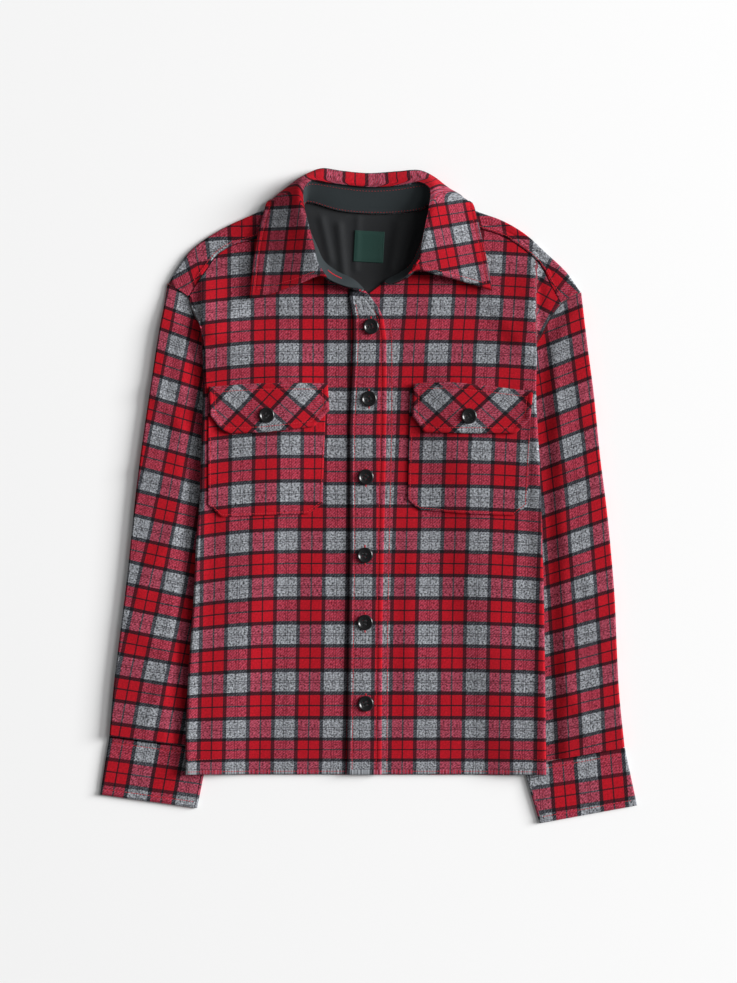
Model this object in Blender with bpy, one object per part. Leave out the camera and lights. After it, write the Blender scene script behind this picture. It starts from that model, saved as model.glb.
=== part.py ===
# A woman's flannel shacket laid flat, front up, on the plane z = 0.
# X runs across the chest, +Y points to the collar, +Z up. The origin is the centre of the outline, on the
# floor. The wearer's right is at -X. Lengths below are in millimetres and are turned into metres at the end.

import math

import bpy
import numpy as np

MM = 0.001

# Cloth thicknesses and the gap kept between pieces
CLOTH = 1.8
DOUBLE = 2.3
THIN = 1.0
GAP = 0.4
SEAM_GAP = 1.0
PATCH_GAP = 0.6

# The levels of the flat stack, measured up from the underside of the back
SLEEVE_HEIGHT = 4.8
SLEEVE_CLEARANCE = 0.8
FRONT_BOTTOM = CLOTH + THIN + 2.5 * GAP
FRONT_TOP = FRONT_BOTTOM + CLOTH
FOLD_RADIUS = FRONT_TOP / 2
BAND_TOP = FRONT_TOP + GAP + DOUBLE
POCKET_TOP = FRONT_TOP + PATCH_GAP + CLOTH
FLAP_TOP = POCKET_TOP + PATCH_GAP + DOUBLE
LEAF_REST = DOUBLE + 2 * GAP

# Body sizes
HEM_Y = -319.0
YOKE_SEAM_Y = 232.0
FRONT_MEET_X = -15.5
FOLD_MARGIN = 46.0
FULL_MARGIN_Y = 90.0
FRONT_ROWS = 19
SLEEVE_RINGS = 12
CAP_RINGS = 4
TUBE_COLUMNS = 7
SIDES = {"right": -1, "left": 1}

# Buttons
BUTTON_RADIUS = 9.0
BUTTON_HEIGHT = 3.0
BUTTON_PLATE = 5.6
HOLE_OFFSET = 1.7
HOLE_RADIUS = 0.85

# Neck seam, a row for each station from the front tip to the centre back:
# neck x, y, z, then the top of the stand x, y, z
RIGHT_STAND = [
    (-4.5, 237.2, 11.4, -10.5, 238.2, 15.0),
    (-16.8, 248.7, 11.2, -26.0, 240.3, 19.0),
    (-37.5, 259.1, 9.6, -47.0, 249.5, 22.0),
    (-51.3, 270.6, 9.4, -57.0, 265.0, 24.0),
    (-59.3, 287.8, 9.2, -62.5, 288.0, 25.5),
    (-69.0, 309.7, 9.4, -68.8, 312.0, 26.0),
    (-73.4, 327.0, 9.6, -74.0, 334.0, 25.5),
    (-72.0, 336.6, 9.6, -73.6, 350.5, 22.5),
    (-63.0, 336.2, 9.4, -65.8, 360.4, 18.5),
    (-32.9, 327.4, 9.2, -32.9, 356.8, 15.5),
    (0.0, 324.3, 9.2, 0.0, 353.5, 14.5),
]
LEFT_STAND = [
    (18.0, 246.5, 9.6, 22.0, 243.5, 13.0),
    (24.3, 250.9, 9.4, 32.0, 246.0, 16.5),
    (36.1, 256.8, 9.2, 45.0, 253.2, 21.0),
    (48.8, 267.1, 9.2, 54.8, 265.5, 23.5),
    (56.8, 283.2, 9.2, 60.0, 285.0, 25.0),
    (64.8, 306.0, 9.4, 65.2, 312.0, 26.0),
    (69.0, 323.5, 9.6, 69.6, 334.9, 25.5),
    (68.0, 333.6, 9.6, 70.0, 350.0, 22.5),
    (59.5, 328.6, 9.4, 63.8, 359.4, 18.5),
    (32.7, 324.8, 9.2, 32.7, 355.1, 15.5),
]

# Collar leaf, a row for each station from the right point round the back to the left point:
# crest x, y, z just outside the roll, middle x, y, z, silhouette x, y, z and outer edge x, y, z
LEAF = [
    (-58.0, 250.6, 26.0, -79.0, 242.6, 22.5, -110.0, 232.4, 15.0, -137.3, 226.6, 12.6),
    (-66.5, 279.5, 29.0, -86.0, 276.5, 23.5, -112.0, 272.5, 15.5, -132.4, 269.0, 12.4),
    (-73.5, 304.8, 29.5, -91.0, 303.5, 23.0, -112.0, 301.5, 15.5, -127.2, 300.0, 12.2),
    (-78.5, 327.0, 29.5, -92.0, 326.5, 23.0, -108.0, 326.5, 15.5, -120.6, 325.5, 12.0),
    (-80.0, 341.0, 28.0, -92.0, 343.0, 21.0, -106.0, 342.4, 13.0, -117.4, 337.4, 6.5),
    (-79.0, 354.5, 24.5, -86.0, 356.4, 18.0, -95.0, 353.9, 7.5, -111.5, 336.2, 0.0),
    (-71.0, 364.0, 20.5, -74.0, 367.0, 15.0, -77.0, 366.2, 6.0, -96.0, 325.0, 0.0),
    (-54.0, 362.3, 19.0, -54.5, 368.8, 15.5, -55.0, 376.2, 6.0, -64.0, 322.0, 0.0),
    (-30.0, 359.6, 18.5, -30.0, 366.0, 15.0, -30.0, 373.4, 6.0, -32.0, 322.0, 0.0),
    (0.0, 356.6, 18.0, 0.0, 362.8, 14.5, 0.0, 370.9, 6.0, 0.0, 322.0, 0.0),
    (32.0, 358.4, 18.5, 32.0, 365.0, 15.0, 32.0, 372.9, 6.0, 32.0, 322.0, 0.0),
    (55.0, 362.0, 19.0, 56.0, 367.6, 15.5, 57.0, 374.4, 6.0, 64.0, 322.0, 0.0),
    (69.0, 362.0, 20.5, 71.5, 365.5, 15.0, 74.6, 367.2, 6.0, 97.0, 325.0, 0.0),
    (76.0, 353.0, 24.5, 83.0, 355.4, 18.0, 91.5, 354.4, 7.5, 115.0, 335.6, 0.0),
    (76.0, 337.5, 28.0, 90.0, 340.5, 21.0, 107.0, 342.2, 13.5, 120.6, 335.2, 7.5),
    (74.5, 325.0, 29.5, 90.0, 325.0, 23.0, 109.0, 323.0, 15.5, 124.6, 320.5, 12.0),
    (70.5, 306.0, 29.5, 90.0, 303.5, 23.0, 113.0, 299.5, 15.5, 130.4, 296.0, 12.2),
    (64.0, 284.0, 29.0, 87.0, 279.0, 23.5, 116.0, 272.0, 15.5, 136.4, 267.5, 12.4),
    (56.5, 257.6, 26.0, 79.0, 252.6, 22.5, 114.0, 244.0, 15.0, 142.0, 235.3, 12.6),
]

# Yoke, a row for each station from the right armhole to the centre back: back seam x,
# fold x, y, front edge x, y, share of the half turn that the fold makes
RIGHT_YOKE = [
    (-209.0, -229.6, 244.6, -206.4, 229.6, 1.0),
    (-198.0, -219.4, 262.6, -197.3, 245.3, 1.0),
    (-183.0, -205.0, 281.6, -186.3, 260.6, 1.0),
    (-166.0, -184.2, 297.8, -175.0, 276.6, 1.0),
    (-148.0, -159.5, 311.8, -158.0, 287.8, 1.0),
    (-126.0, -132.0, 324.0, -134.0, 294.4, 1.0),
    (-104.0, -109.0, 334.0, -105.0, 303.5, 1.0),
    (-88.0, -90.0, 341.0, -72.4, 310.5, 1.0),
    (-78.0, -81.0, 343.5, -76.8, 327.0, 1.0),
    (-69.0, -74.0, 342.5, -72.5, 339.0, 0.6),
    (-60.0, -62.0, 333.6, -62.0, 336.5, 0.0),
    (-33.0, -33.0, 324.6, -33.0, 327.5, 0.0),
    (0.0, 0.0, 321.0, 0.0, 323.9, 0.0),
]
LEFT_YOKE = [
    (232.0, 243.4, 234.6, 221.0, 222.6, 1.0),
    (212.0, 226.4, 258.4, 210.7, 241.5, 1.0),
    (190.0, 204.2, 279.2, 198.4, 264.2, 1.0),
    (172.0, 185.0, 297.2, 184.2, 279.1, 1.0),
    (150.0, 168.2, 309.0, 158.0, 297.0, 1.0),
    (128.0, 150.0, 318.2, 133.0, 306.0, 1.0),
    (108.0, 130.0, 325.0, 106.0, 311.5, 1.0),
    (90.0, 100.0, 336.0, 71.0, 313.0, 1.0),
    (78.0, 80.0, 342.6, 72.6, 327.0, 1.0),
    (68.0, 71.5, 340.5, 69.5, 336.5, 0.6),
    (58.0, 59.5, 325.6, 59.5, 328.5, 0.0),
    (33.0, 33.0, 321.8, 33.0, 324.7, 0.0),
]

# Seam between sleeve and body on top, from the shoulder corner to the underarm, which is hidden
ARMHOLE = {
    "right": [(-231.2, 244.2), (-222.2, 239.2), (-214.8, 234.2), (-207.6, 226.8), (-203.6, 215.6),
              (-195.4, 199.0), (-172.0, 172.0), (-138.0, 152.0), (-98.0, 141.0)],
    "left": [(244.8, 234.0), (234.4, 230.0), (220.6, 219.2), (212.1, 209.0), (203.0, 192.7),
             (196.4, 180.2), (172.0, 155.0), (138.0, 136.0), (104.0, 126.0)],
}
# The side fold of the body from the armhole down to the hem
SIDE_FOLD = {
    "right": [(-194.4, 194.0), (-191.0, 166.0), (-190.4, 110.7), (-192.3, 51.5), (-194.2, -4.3),
              (-197.9, -50.3), (-201.1, -115.2), (-204.4, -163.6), (-207.7, -212.1), (-210.0, -276.6),
              (-210.7, HEM_Y)],
    "left": [(194.6, 176.0), (193.4, 156.7), (192.7, 110.7), (194.8, 68.8), (197.8, 14.1), (199.2, -44.2),
             (201.1, -99.0), (202.2, -163.5), (202.9, -211.8), (203.6, -276.5), (204.5, HEM_Y)],
}
# Sleeve sections below the cap: outer edge x, y and hidden inner edge x, y
SLEEVE = {
    "right": [(-236.0, 216.0, -96.0, 112.0), (-242.0, 184.3, -98.0, 84.0), (-252.3, 115.3, -112.0, 36.0),
              (-260.4, 60.1, -124.0, -8.0), (-267.4, 4.9, -136.0, -52.0), (-273.1, -50.3, -147.0, -100.0),
              (-279.0, -105.5, -158.0, -150.0), (-286.0, -160.7, -168.0, -198.0),
              (-292.7, -215.9, -177.0, -246.0), (-297.9, -274.8, -183.6, -290.0)],
    "left": [(248.0, 206.0, 104.0, 96.0), (252.2, 170.5, 107.0, 66.0), (259.2, 115.3, 118.0, 20.0),
             (266.0, 46.3, 130.0, -32.0), (273.0, -8.9, 140.0, -76.0), (278.6, -64.1, 149.0, -122.0),
             (283.0, -119.3, 157.0, -168.0), (285.3, -174.5, 165.0, -216.0),
             (288.2, -228.8, 172.0, -262.0), (294.2, -288.0, 177.2, -309.0)],
}
CUFF = {
    "right": [(-298.0, -275.6, -183.7, -290.8), (-303.3, -309.0, -190.2, -324.6),
              (-308.5, -342.7, -197.0, -358.3)],
    "left": [(294.4, -288.8, 177.3, -309.8), (301.4, -322.0, 186.8, -342.8), (308.5, -355.1, 196.5, -375.7)],
}

# Button band: height y, left edge x, right edge x
BAND = [
    (HEM_Y - 0.6, -25.3, 14.8), (-146.9, -23.4, 15.9), (-66.4, -22.2, 17.4), (78.5, -22.4, 20.5),
    (146.4, -19.2, 20.7), (182.0, -18.2, 20.4), (203.9, -18.2, 17.2), (215.4, -20.0, 12.0),
    (225.7, -22.0, 4.8), (235.4, -23.2, -3.4),
]
BUTTONS_ON_BAND = [(2.8, 194.7), (0.5, 111.9), (-3.0, 22.2), (-4.1, -67.5), (-4.1, -144.6), (-3.0, -237.7)]
BUTTONS_ON_FLAPS = {"right": (-116.5, 92.9), "left": (114.9, 91.8)}

# Pockets and flaps: column x at the top, top y, column x at the bottom, bottom y
POCKET = {
    "right": [(-183.6, 122.0, -184.0, -9.6), (-168.6, 122.0, -168.6, -23.8), (-150.0, 122.0, -150.0, -23.2),
              (-109.0, 122.0, -109.0, -21.8), (-68.0, 122.0, -68.8, -20.4), (-48.6, 122.0, -53.0, -8.2)],
    "left": [(46.8, 122.0, 44.6, -3.4), (59.5, 122.0, 57.6, -15.6), (109.0, 122.0, 107.6, -20.0),
             (150.0, 118.0, 148.0, -21.6), (168.5, 116.0, 166.6, -22.0), (186.4, 114.0, 181.8, -10.6)],
}
FLAP = {
    "right": [(-183.0, 125.4, -181.0, 92.4), (-169.0, 126.6, -168.6, 75.6), (-159.0, 127.4, -159.0, 71.8),
              (-122.6, 129.4, -122.6, 72.8), (-90.0, 129.8, -90.0, 76.2), (-62.5, 129.8, -62.2, 79.9),
              (-46.8, 129.6, -44.8, 98.6)],
    "left": [(51.4, 129.3, 50.4, 91.4), (64.4, 130.2, 64.2, 73.0), (92.0, 131.0, 92.0, 72.2),
             (130.0, 127.4, 130.0, 71.8), (168.0, 122.6, 168.4, 71.8), (188.4, 120.0, 185.0, 88.4)],
}

LABEL_CENTRE = (0.4, 286.6)
LABEL_SIZE = (34.6, 35.8)
LABEL_TURN = math.radians(-3.0)

# Colour, roughness and metallic value of each material
FINISHES = {
    "flannel": ((0.36, 0.04, 0.055), 0.85, 0.0),
    "flannel_bias": ((0.33, 0.07, 0.085), 0.85, 0.0),
    "charcoal_lining": ((0.018, 0.021, 0.024), 0.55, 0.0),
    "green_label": ((0.012, 0.055, 0.042), 0.6, 0.0),
    "black_button": ((0.008, 0.008, 0.01), 0.22, 0.0),
}


def clear_scene():
    for thing in list(bpy.data.objects):
        bpy.data.objects.remove(thing, do_unlink=True)


def finish_material(name, finish):
    """A Principled material with the finish's colour, roughness and metallic value."""
    colour, roughness, metallic = FINISHES[finish]
    material = bpy.data.materials.new(name + "_" + finish)
    material.use_nodes = True
    shader = material.node_tree.nodes["Principled BSDF"]
    shader.inputs["Base Color"].default_value = (*colour, 1.0)
    shader.inputs["Roughness"].default_value = roughness
    shader.inputs["Metallic"].default_value = metallic
    return material


def smooth_step(value):
    """0 below 0, 1 above 1, and a soft S between."""
    value = np.clip(value, 0.0, 1.0)
    return value * value * (3.0 - 2.0 * value)


def resample(rows, count, rounded=True):
    """count points at even steps of length along the rows, on a Catmull-Rom curve or on straight lines."""
    rows = np.asarray(rows, float)
    steps = 12 if rounded else 1
    if rounded:
        ends = np.vstack([2 * rows[0] - rows[1], rows, 2 * rows[-1] - rows[-2]])
        t = np.linspace(0.0, 1.0, steps, endpoint=False)[:, None]
        runs = []
        for i in range(len(rows) - 1):
            a, b, c, d = ends[i:i + 4]
            runs.append(0.5 * (2 * b + (c - a) * t + (2 * a - 5 * b + 4 * c - d) * t ** 2
                               + (3 * b - a - 3 * c + d) * t ** 3))
        rows = np.vstack(runs + [rows[-1:]])
    lengths = np.r_[0.0, np.cumsum(np.linalg.norm(np.diff(rows, axis=0), axis=1))]
    places = np.linspace(0.0, lengths[-1], count)
    return np.column_stack([np.interp(places, lengths, rows[:, k]) for k in range(rows.shape[1])])


def blend_rows(rows, count):
    """count rows at even steps of the row number, on a Catmull-Rom curve through the rows."""
    rows = np.asarray(rows, float)
    ends = np.vstack([2 * rows[0] - rows[1], rows, 2 * rows[-1] - rows[-2]])
    out = []
    for place in np.linspace(0.0, len(rows) - 1.0, count):
        i = min(int(place), len(rows) - 2)
        t = place - i
        a, b, c, d = ends[i:i + 4]
        out.append(0.5 * (2 * b + (c - a) * t + (2 * a - 5 * b + 4 * c - d) * t ** 2
                          + (3 * b - a - 3 * c + d) * t ** 3))
    return np.array(out)


def moved_aside(points, distance):
    """The points of a plan curve moved to the left of its direction by the distance."""
    points = np.asarray(points, float)
    along = np.gradient(points, axis=0)
    along /= np.linalg.norm(along, axis=1)[:, None]
    return points + distance * np.column_stack([-along[:, 1], along[:, 0]])


def outline_distance(x, y, outline):
    """Distance from each point to a closed plan outline, and 0 inside it."""
    outline = np.asarray(outline, float)
    best = np.full(np.shape(x), 1e9)
    inside = np.zeros(np.shape(x), bool)
    for (ax, ay), (bx, by) in zip(outline, np.roll(outline, -1, axis=0)):
        run = max((bx - ax) ** 2 + (by - ay) ** 2, 1e-9)
        t = np.clip(((x - ax) * (bx - ax) + (y - ay) * (by - ay)) / run, 0.0, 1.0)
        best = np.minimum(best, np.hypot(x - ax - t * (bx - ax), y - ay - t * (by - ay)))
        if ay != by:
            crosses = ((ay > y) != (by > y)) & (x < (bx - ax) * (y - ay) / (by - ay) + ax)
            inside ^= crosses
    return np.where(inside, 0.0, best)


def sleeve_outline(side):
    """The plan outline of a sleeve and its cuff."""
    cap = ARMHOLE[side]
    rows = SLEEVE[side] + CUFF[side]
    inner = [(row[2], row[3]) for row in rows]
    outer = [(row[0], row[1]) for row in reversed(rows)]
    return cap + inner + outer


def leaf_outline():
    """The plan outline of the part of the collar leaf that lies under the yoke."""
    back = LEAF[4:15]
    return [(row[9], row[10]) for row in back] + [(row[6], row[7]) for row in reversed(back)]


SLEEVE_OUTLINES = {side: sleeve_outline(side) for side in SIDES}
LEAF_OUTLINE = leaf_outline()
SLEEVE_SOFTNESS = 60.0
LEAF_SOFTNESS = 45.0


def ground(x, y):
    """Height of the body underside, which lies on the floor, the sleeves and the back of the collar."""
    x, y = np.asarray(x, float), np.asarray(y, float)
    height = np.zeros(np.broadcast(x, y).shape)
    for side in SIDES:
        corner, turn = ARMHOLE[side][0], ARMHOLE[side][5]
        reach = smooth_step((corner[1] - y) / (corner[1] - turn[1]))
        near = smooth_step(1.0 - outline_distance(x, y, SLEEVE_OUTLINES[side]) / SLEEVE_SOFTNESS)
        height = np.maximum(height, (SLEEVE_HEIGHT + SLEEVE_CLEARANCE) * reach * near)
    near = smooth_step(1.0 - outline_distance(x, y, LEAF_OUTLINE) / LEAF_SOFTNESS)
    return height + LEAF_REST * near


def grid_normals(grid):
    """Unit normals of a grid of points, from its two directions."""
    down = np.gradient(grid, axis=0)
    across = np.gradient(grid, axis=1)
    normals = np.cross(down, across)
    return normals / np.maximum(np.linalg.norm(normals, axis=2), 1e-9)[:, :, None]


def add_solid(name, vertices, faces, finish, smooth=True):
    """A closed mesh object in metres with its own material."""
    mesh = bpy.data.meshes.new(name)
    mesh.from_pydata((np.asarray(vertices) * MM).tolist(), [], faces)
    mesh.validate()
    mesh.materials.append(finish_material(name, finish))
    if smooth:
        mesh.shade_smooth()
        mesh.set_sharp_from_angle(angle=math.radians(50))
    piece = bpy.data.objects.new(name, mesh)
    bpy.context.scene.collection.objects.link(piece)
    return piece


def add_wall(name, outer, inner, finish):
    """A closed wall between two grids of points with the same rows and columns."""
    rows, columns = outer.shape[:2]
    count = rows * columns
    index = np.arange(count).reshape(rows, columns)
    a, b = index[:-1, :-1].ravel(), index[1:, :-1].ravel()
    c, d = index[1:, 1:].ravel(), index[:-1, 1:].ravel()
    top = np.vstack([np.column_stack([a, b, c]), np.column_stack([a, c, d])])
    under = top[:, ::-1] + count
    rim = np.r_[index[0, :-1], index[:-1, -1], index[-1, :0:-1], index[:0:-1, 0]]
    after = np.roll(rim, -1)
    side = np.vstack([np.column_stack([rim, after, after + count]),
                      np.column_stack([rim, after + count, rim + count])])
    vertices = np.vstack([outer.reshape(-1, 3), inner.reshape(-1, 3)])
    return add_solid(name, vertices, np.vstack([top, under, side]).tolist(), finish)


def add_sheet(name, outer, thickness, finish):
    """A wall whose outer face is the grid, with its thickness laid behind the face."""
    return add_wall(name, outer, outer - thickness * grid_normals(outer), finish)


def add_flat(name, plan, level, thickness, finish):
    """A wall that lies on the body: a plan grid at a level over the ground, as deep as its thickness."""
    x, y = plan[:, :, 0], plan[:, :, 1]
    top = ground(x, y) + level
    outer = np.dstack([x, y, top])
    inner = np.dstack([x, y, top - thickness])
    return add_wall(name, outer, inner, finish)


def patch(bottom, top, left, right):
    """A Coons patch in plan: rows from bottom to top, columns from left to right."""
    rows, columns = len(left), len(bottom)
    v = np.linspace(0.0, 1.0, rows)[:, None, None]
    u = np.linspace(0.0, 1.0, columns)[None, :, None]
    bottom, top = np.asarray(bottom)[None], np.asarray(top)[None]
    left, right = np.asarray(left)[:, None], np.asarray(right)[:, None]
    corners = ((1 - u) * (1 - v) * bottom[:, :1] + u * (1 - v) * bottom[:, -1:]
               + (1 - u) * v * top[:, :1] + u * v * top[:, -1:])
    return (1 - v) * bottom + v * top + (1 - u) * left + u * right - corners


def neck_points(side):
    """Plan points of the neck seam from the front tip to the side of the neck."""
    rows = RIGHT_STAND if side == "right" else LEFT_STAND
    return [row[:2] for row in rows[:6]]


def front_edge_of_yoke(side):
    """Plan points of the front yoke seam from the neck to the armhole."""
    rows = RIGHT_YOKE if side == "right" else LEFT_YOKE
    return [(row[3], row[4]) for row in rows[7::-1]]


def side_line(side, count):
    """Where the top of a front ends: down the armhole seam and the side fold, from the yoke to the hem."""
    sign = SIDES[side]
    yoke_end = (RIGHT_YOKE if side == "right" else LEFT_YOKE)[0][3:5]
    seam = [point for point in ARMHOLE[side][:6] if point[1] < yoke_end[1] - 3.0]
    start = (yoke_end[0] + 0.4 * sign, yoke_end[1] - 2.4)
    line = resample([start] + seam + SIDE_FOLD[side], count * 4)
    return moved_aside(line, -sign * (FOLD_RADIUS + GAP))


def front_rows(side, count):
    """Row places from the hem up: the plan end of the top face, and how far the cloth goes on past it."""
    line = side_line(side, count)[::-1]
    line = resample(line, count, rounded=False)
    reach = smooth_step((ARMHOLE[side][5][1] - 6.0 - line[:, 1])
                        / (ARMHOLE[side][5][1] - 6.0 - FULL_MARGIN_Y))
    turn = math.pi * FOLD_RADIUS
    tail = np.where(reach > 0, turn * np.minimum(1.0, reach * 6.0), 0.0)
    return line, np.maximum(tail, 2.2) + FOLD_MARGIN * np.clip((reach - 0.15) / 0.85, 0.0, 1.0)


def fold_outward(side, edge):
    """Unit plan directions out of the body along its side line, which runs up from the hem."""
    along = np.gradient(edge, axis=0)
    along /= np.linalg.norm(along, axis=1)[:, None]
    return SIDES[side] * np.column_stack([along[:, 1], -along[:, 0]])


def add_front(side):
    """A front with its side folded round and under, as far as the side seam."""
    sign = SIDES[side]
    rows, neck_columns, yoke_columns, folded = FRONT_ROWS, 4, 9, 8
    edge, tails = front_rows(side, rows)
    neck = moved_aside(resample(neck_points(side), 30), 0.6 * -sign)
    if side == "right":
        meet_y = np.interp(-FRONT_MEET_X, -neck[:, 0], neck[:, 1])
        neck = np.vstack([[FRONT_MEET_X, meet_y], neck[neck[:, 0] < FRONT_MEET_X]])
    else:
        neck = np.vstack([[FRONT_MEET_X + GAP, 226.0], [1.4, 233.2], neck])
    yoke = moved_aside(resample(front_edge_of_yoke(side), 30), -SEAM_GAP * sign)
    seam = resample(np.vstack([neck[-1:], yoke[1:], edge[-1:]]), yoke_columns, rounded=False)
    top = np.vstack([resample(neck, neck_columns, rounded=False)[:-1], seam])
    middle_x, columns = top[0][0], len(top)
    centre = np.column_stack([np.full(rows, middle_x), np.linspace(HEM_Y, top[0][1], rows)])
    hem = resample([(middle_x, HEM_Y), tuple(edge[0])], columns, rounded=False)
    plan = patch(hem, top, centre, edge)
    x, y = plan[:, :, 0], plan[:, :, 1]
    face = np.dstack([x, y, ground(x, y) + FRONT_TOP])
    outward = fold_outward(side, edge)
    outer = [face]
    turn = math.pi * FOLD_RADIUS
    for k in range(1, folded + 1):
        if k < 6:
            run = np.minimum(tails, turn) * k / 5.0
        else:
            run = np.minimum(tails, turn) + np.maximum(tails - turn, 0.0) * (k - 5) / (folded - 5)
        angle = np.minimum(run, turn) / FOLD_RADIUS
        away = FOLD_RADIUS * np.sin(angle) - np.maximum(run - turn, 0.0)
        place = edge + outward * away[:, None]
        level = ground(place[:, 0], place[:, 1]) + FOLD_RADIUS * (1.0 + np.cos(angle))
        outer.append(np.column_stack([place, level])[:, None])
    outer = np.concatenate(outer, axis=1)
    if side == "right":
        outer = outer[:, ::-1]
    return add_sheet("front_" + side, outer.transpose(1, 0, 2), CLOTH, "flannel")


def side_seam(side, count):
    """The plan line where the back meets the folded front, from the hem up to the yoke seam."""
    sign = SIDES[side]
    edge, tails = front_rows(side, FRONT_ROWS)
    folded_in = np.maximum(tails - math.pi * FOLD_RADIUS, 0.0) + SEAM_GAP
    ends = edge - fold_outward(side, edge) * folded_in[:, None]
    turn_y = ARMHOLE[side][5][1] - 8.0
    low = [tuple(point) for point in ends if point[1] < turn_y]
    high = [(x - sign * 3.0, y) for x, y in ARMHOLE[side][5:0:-1] if turn_y + 4.0 < y < YOKE_SEAM_Y - 6.0]
    yoke_x = (RIGHT_YOKE if side == "right" else LEFT_YOKE)[0][0]
    line = np.array(low + high + [(yoke_x, YOKE_SEAM_Y - GAP)])
    extra = max(count - len(line), 0)
    steps = np.linspace(0.0, 1.0, extra + 2)[1:, None]
    return np.vstack([line[:-1], line[-2] + (line[-1] - line[-2]) * steps])


def add_back():
    """The back, between the side seams and up to the yoke."""
    rows = max(len(side_seam(side, 0)) for side in SIDES)
    left, right = side_seam("right", rows), side_seam("left", rows)
    columns = 19
    bottom = resample([left[0], right[0]], columns, rounded=False)
    top = resample([left[-1], right[-1]], columns, rounded=False)
    plan = patch(bottom, top, left, right)
    return add_flat("back", plan.transpose(1, 0, 2), CLOTH, CLOTH, "flannel")


def add_yoke():
    """The yoke: from the back seam up, round the shoulder fold, and down to the front seam or the neck."""
    stations = RIGHT_YOKE + LEFT_YOKE[::-1]
    table = blend_rows(stations, 37)
    back = np.column_stack([table[:, 0], np.full(len(table), YOKE_SEAM_Y)])
    fold, front = table[:, 1:3], table[:, 3:5]
    share = np.clip(table[:, 5], 0.0, 1.0)
    up = fold - back
    up /= np.linalg.norm(up, axis=1)[:, None]
    turn_start = fold - up * (FOLD_RADIUS * share)[:, None]
    outer = []
    for k in range(5):
        place = back + (turn_start - back) * (k / 5.0)
        outer.append(np.column_stack([place, ground(place[:, 0], place[:, 1])]))
    for k in range(6):
        angle = math.pi * share * k / 5.0
        away = FOLD_RADIUS * np.sin(angle) * share + (1.0 - share) * k * 0.2
        place = turn_start + up * away[:, None]
        level = ground(place[:, 0], place[:, 1]) + FOLD_RADIUS * (1.0 - np.cos(angle))
        outer.append(np.column_stack([place, level]))
    last = outer[-1][:, :2]
    for k in range(1, 4):
        place = last + (front - last) * (k / 3.0)
        level = ground(place[:, 0], place[:, 1]) + FOLD_RADIUS * (1.0 - np.cos(math.pi * share))
        outer.append(np.column_stack([place, level]))
    return add_sheet("yoke", np.array(outer), CLOTH, "flannel")


def stand_grid(columns=37, rows=4):
    """The dark inner face of the collar stand, from the neck seam up to its top seam."""
    table = blend_rows(RIGHT_STAND + LEFT_STAND[::-1], columns)
    w = np.linspace(0.0, 1.0, rows)[None, :, None]
    return table[:, None, :3] * (1 - w) + table[:, None, 3:] * w


def add_stand():
    """The stand's inner facing, and its outer layer behind it."""
    face = stand_grid()
    normals = grid_normals(face)
    add_wall("stand_facing", face, face - THIN * normals, "charcoal_lining")
    near, far = THIN + GAP, THIN + GAP + CLOTH
    return add_wall("collar_stand", face - near * normals, face - far * normals, "flannel")


def leaf_grid(columns=37, rows=12):
    """The outer face of the collar leaf, from the top of the stand over the roll to its edge."""
    tops = np.array([row[3:] for row in RIGHT_STAND + LEFT_STAND[::-1]])
    tops = resample(tops[2:-2], len(LEAF), rounded=True)
    tops[:, 2] += GAP + DOUBLE + 0.6
    leaf = np.array(LEAF)
    silhouette, edge = leaf[:, 6:9], leaf[:, 9:12]
    under = silhouette + (edge - silhouette) * 0.3
    under[:, 2] = edge[:, 2] + (silhouette[:, 2] - edge[:, 2]) * 0.7 * np.minimum(edge[:, 2] / 12.0, 1.0)
    table = np.column_stack([tops, leaf[:, :9], under, edge])
    table = blend_rows(table, columns).reshape(columns, 6, 3)
    grid = []
    for line in table:
        curve = resample(line, rows)
        curve[:, 2] = np.maximum(curve[:, 2], 0.0)
        grid.append(curve)
    return np.array(grid)


def add_leaf():
    face = leaf_grid()
    return add_sheet("collar_leaf", face, DOUBLE, "flannel")


def tube_ring(line, shrink):
    """One flattened ring: along the line on top, round the inner fold, back below, round the outer fold."""
    middle = SLEEVE_HEIGHT / 2
    radius = middle - shrink
    across = (line[-1] - line[0]) / np.linalg.norm(line[-1] - line[0])
    lengths = np.r_[0.0, np.cumsum(np.linalg.norm(np.diff(line, axis=0), axis=1))]
    places = np.linspace(middle, lengths[-1] - middle, TUBE_COLUMNS)
    x, y = np.interp(places, lengths, line[:, 0]), np.interp(places, lengths, line[:, 1])
    top = np.column_stack([x, y, np.full(TUBE_COLUMNS, middle + radius)])
    below = top[::-1] - [0.0, 0.0, 2 * radius]
    turns = np.linspace(0.0, math.pi, 5)[1:-1]
    inner = [(*(top[-1, :2] + across * radius * math.sin(a)), middle + radius * math.cos(a)) for a in turns]
    outer = [(*(top[0, :2] - across * radius * math.sin(a)), middle - radius * math.cos(a)) for a in turns]
    return np.vstack([top, inner, below, outer])


def add_tube(name, lines):
    """A closed flattened tube with open ends: an outer skin, an inner skin and a rim at each end."""
    skins = [np.array([tube_ring(line, shrink) for line in lines]) for shrink in (0.0, CLOTH)]
    rings, around = skins[0].shape[:2]
    count = rings * around
    last = count - around
    faces = []
    for j in range(around):
        k = (j + 1) % around
        for start in range(0, last, around):
            a, b, c, d = start + j, start + k, start + around + k, start + around + j
            faces.append((a, b, c, d))
            faces.append((d + count, c + count, b + count, a + count))
        faces.append((k, j, j + count, k + count))
        faces.append((last + j, last + k, last + k + count, last + j + count))
    if name.endswith("right"):
        faces = [face[::-1] for face in faces]
    return add_solid(name, np.vstack([skin.reshape(-1, 3) for skin in skins]), faces, "flannel")


def straight_line(row):
    """Points on the straight line between a section's outer and inner edge."""
    start, end = np.array(row[:2]), np.array(row[2:])
    return start + (end - start) * np.linspace(0.0, 1.0, 40)[:, None]


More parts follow.
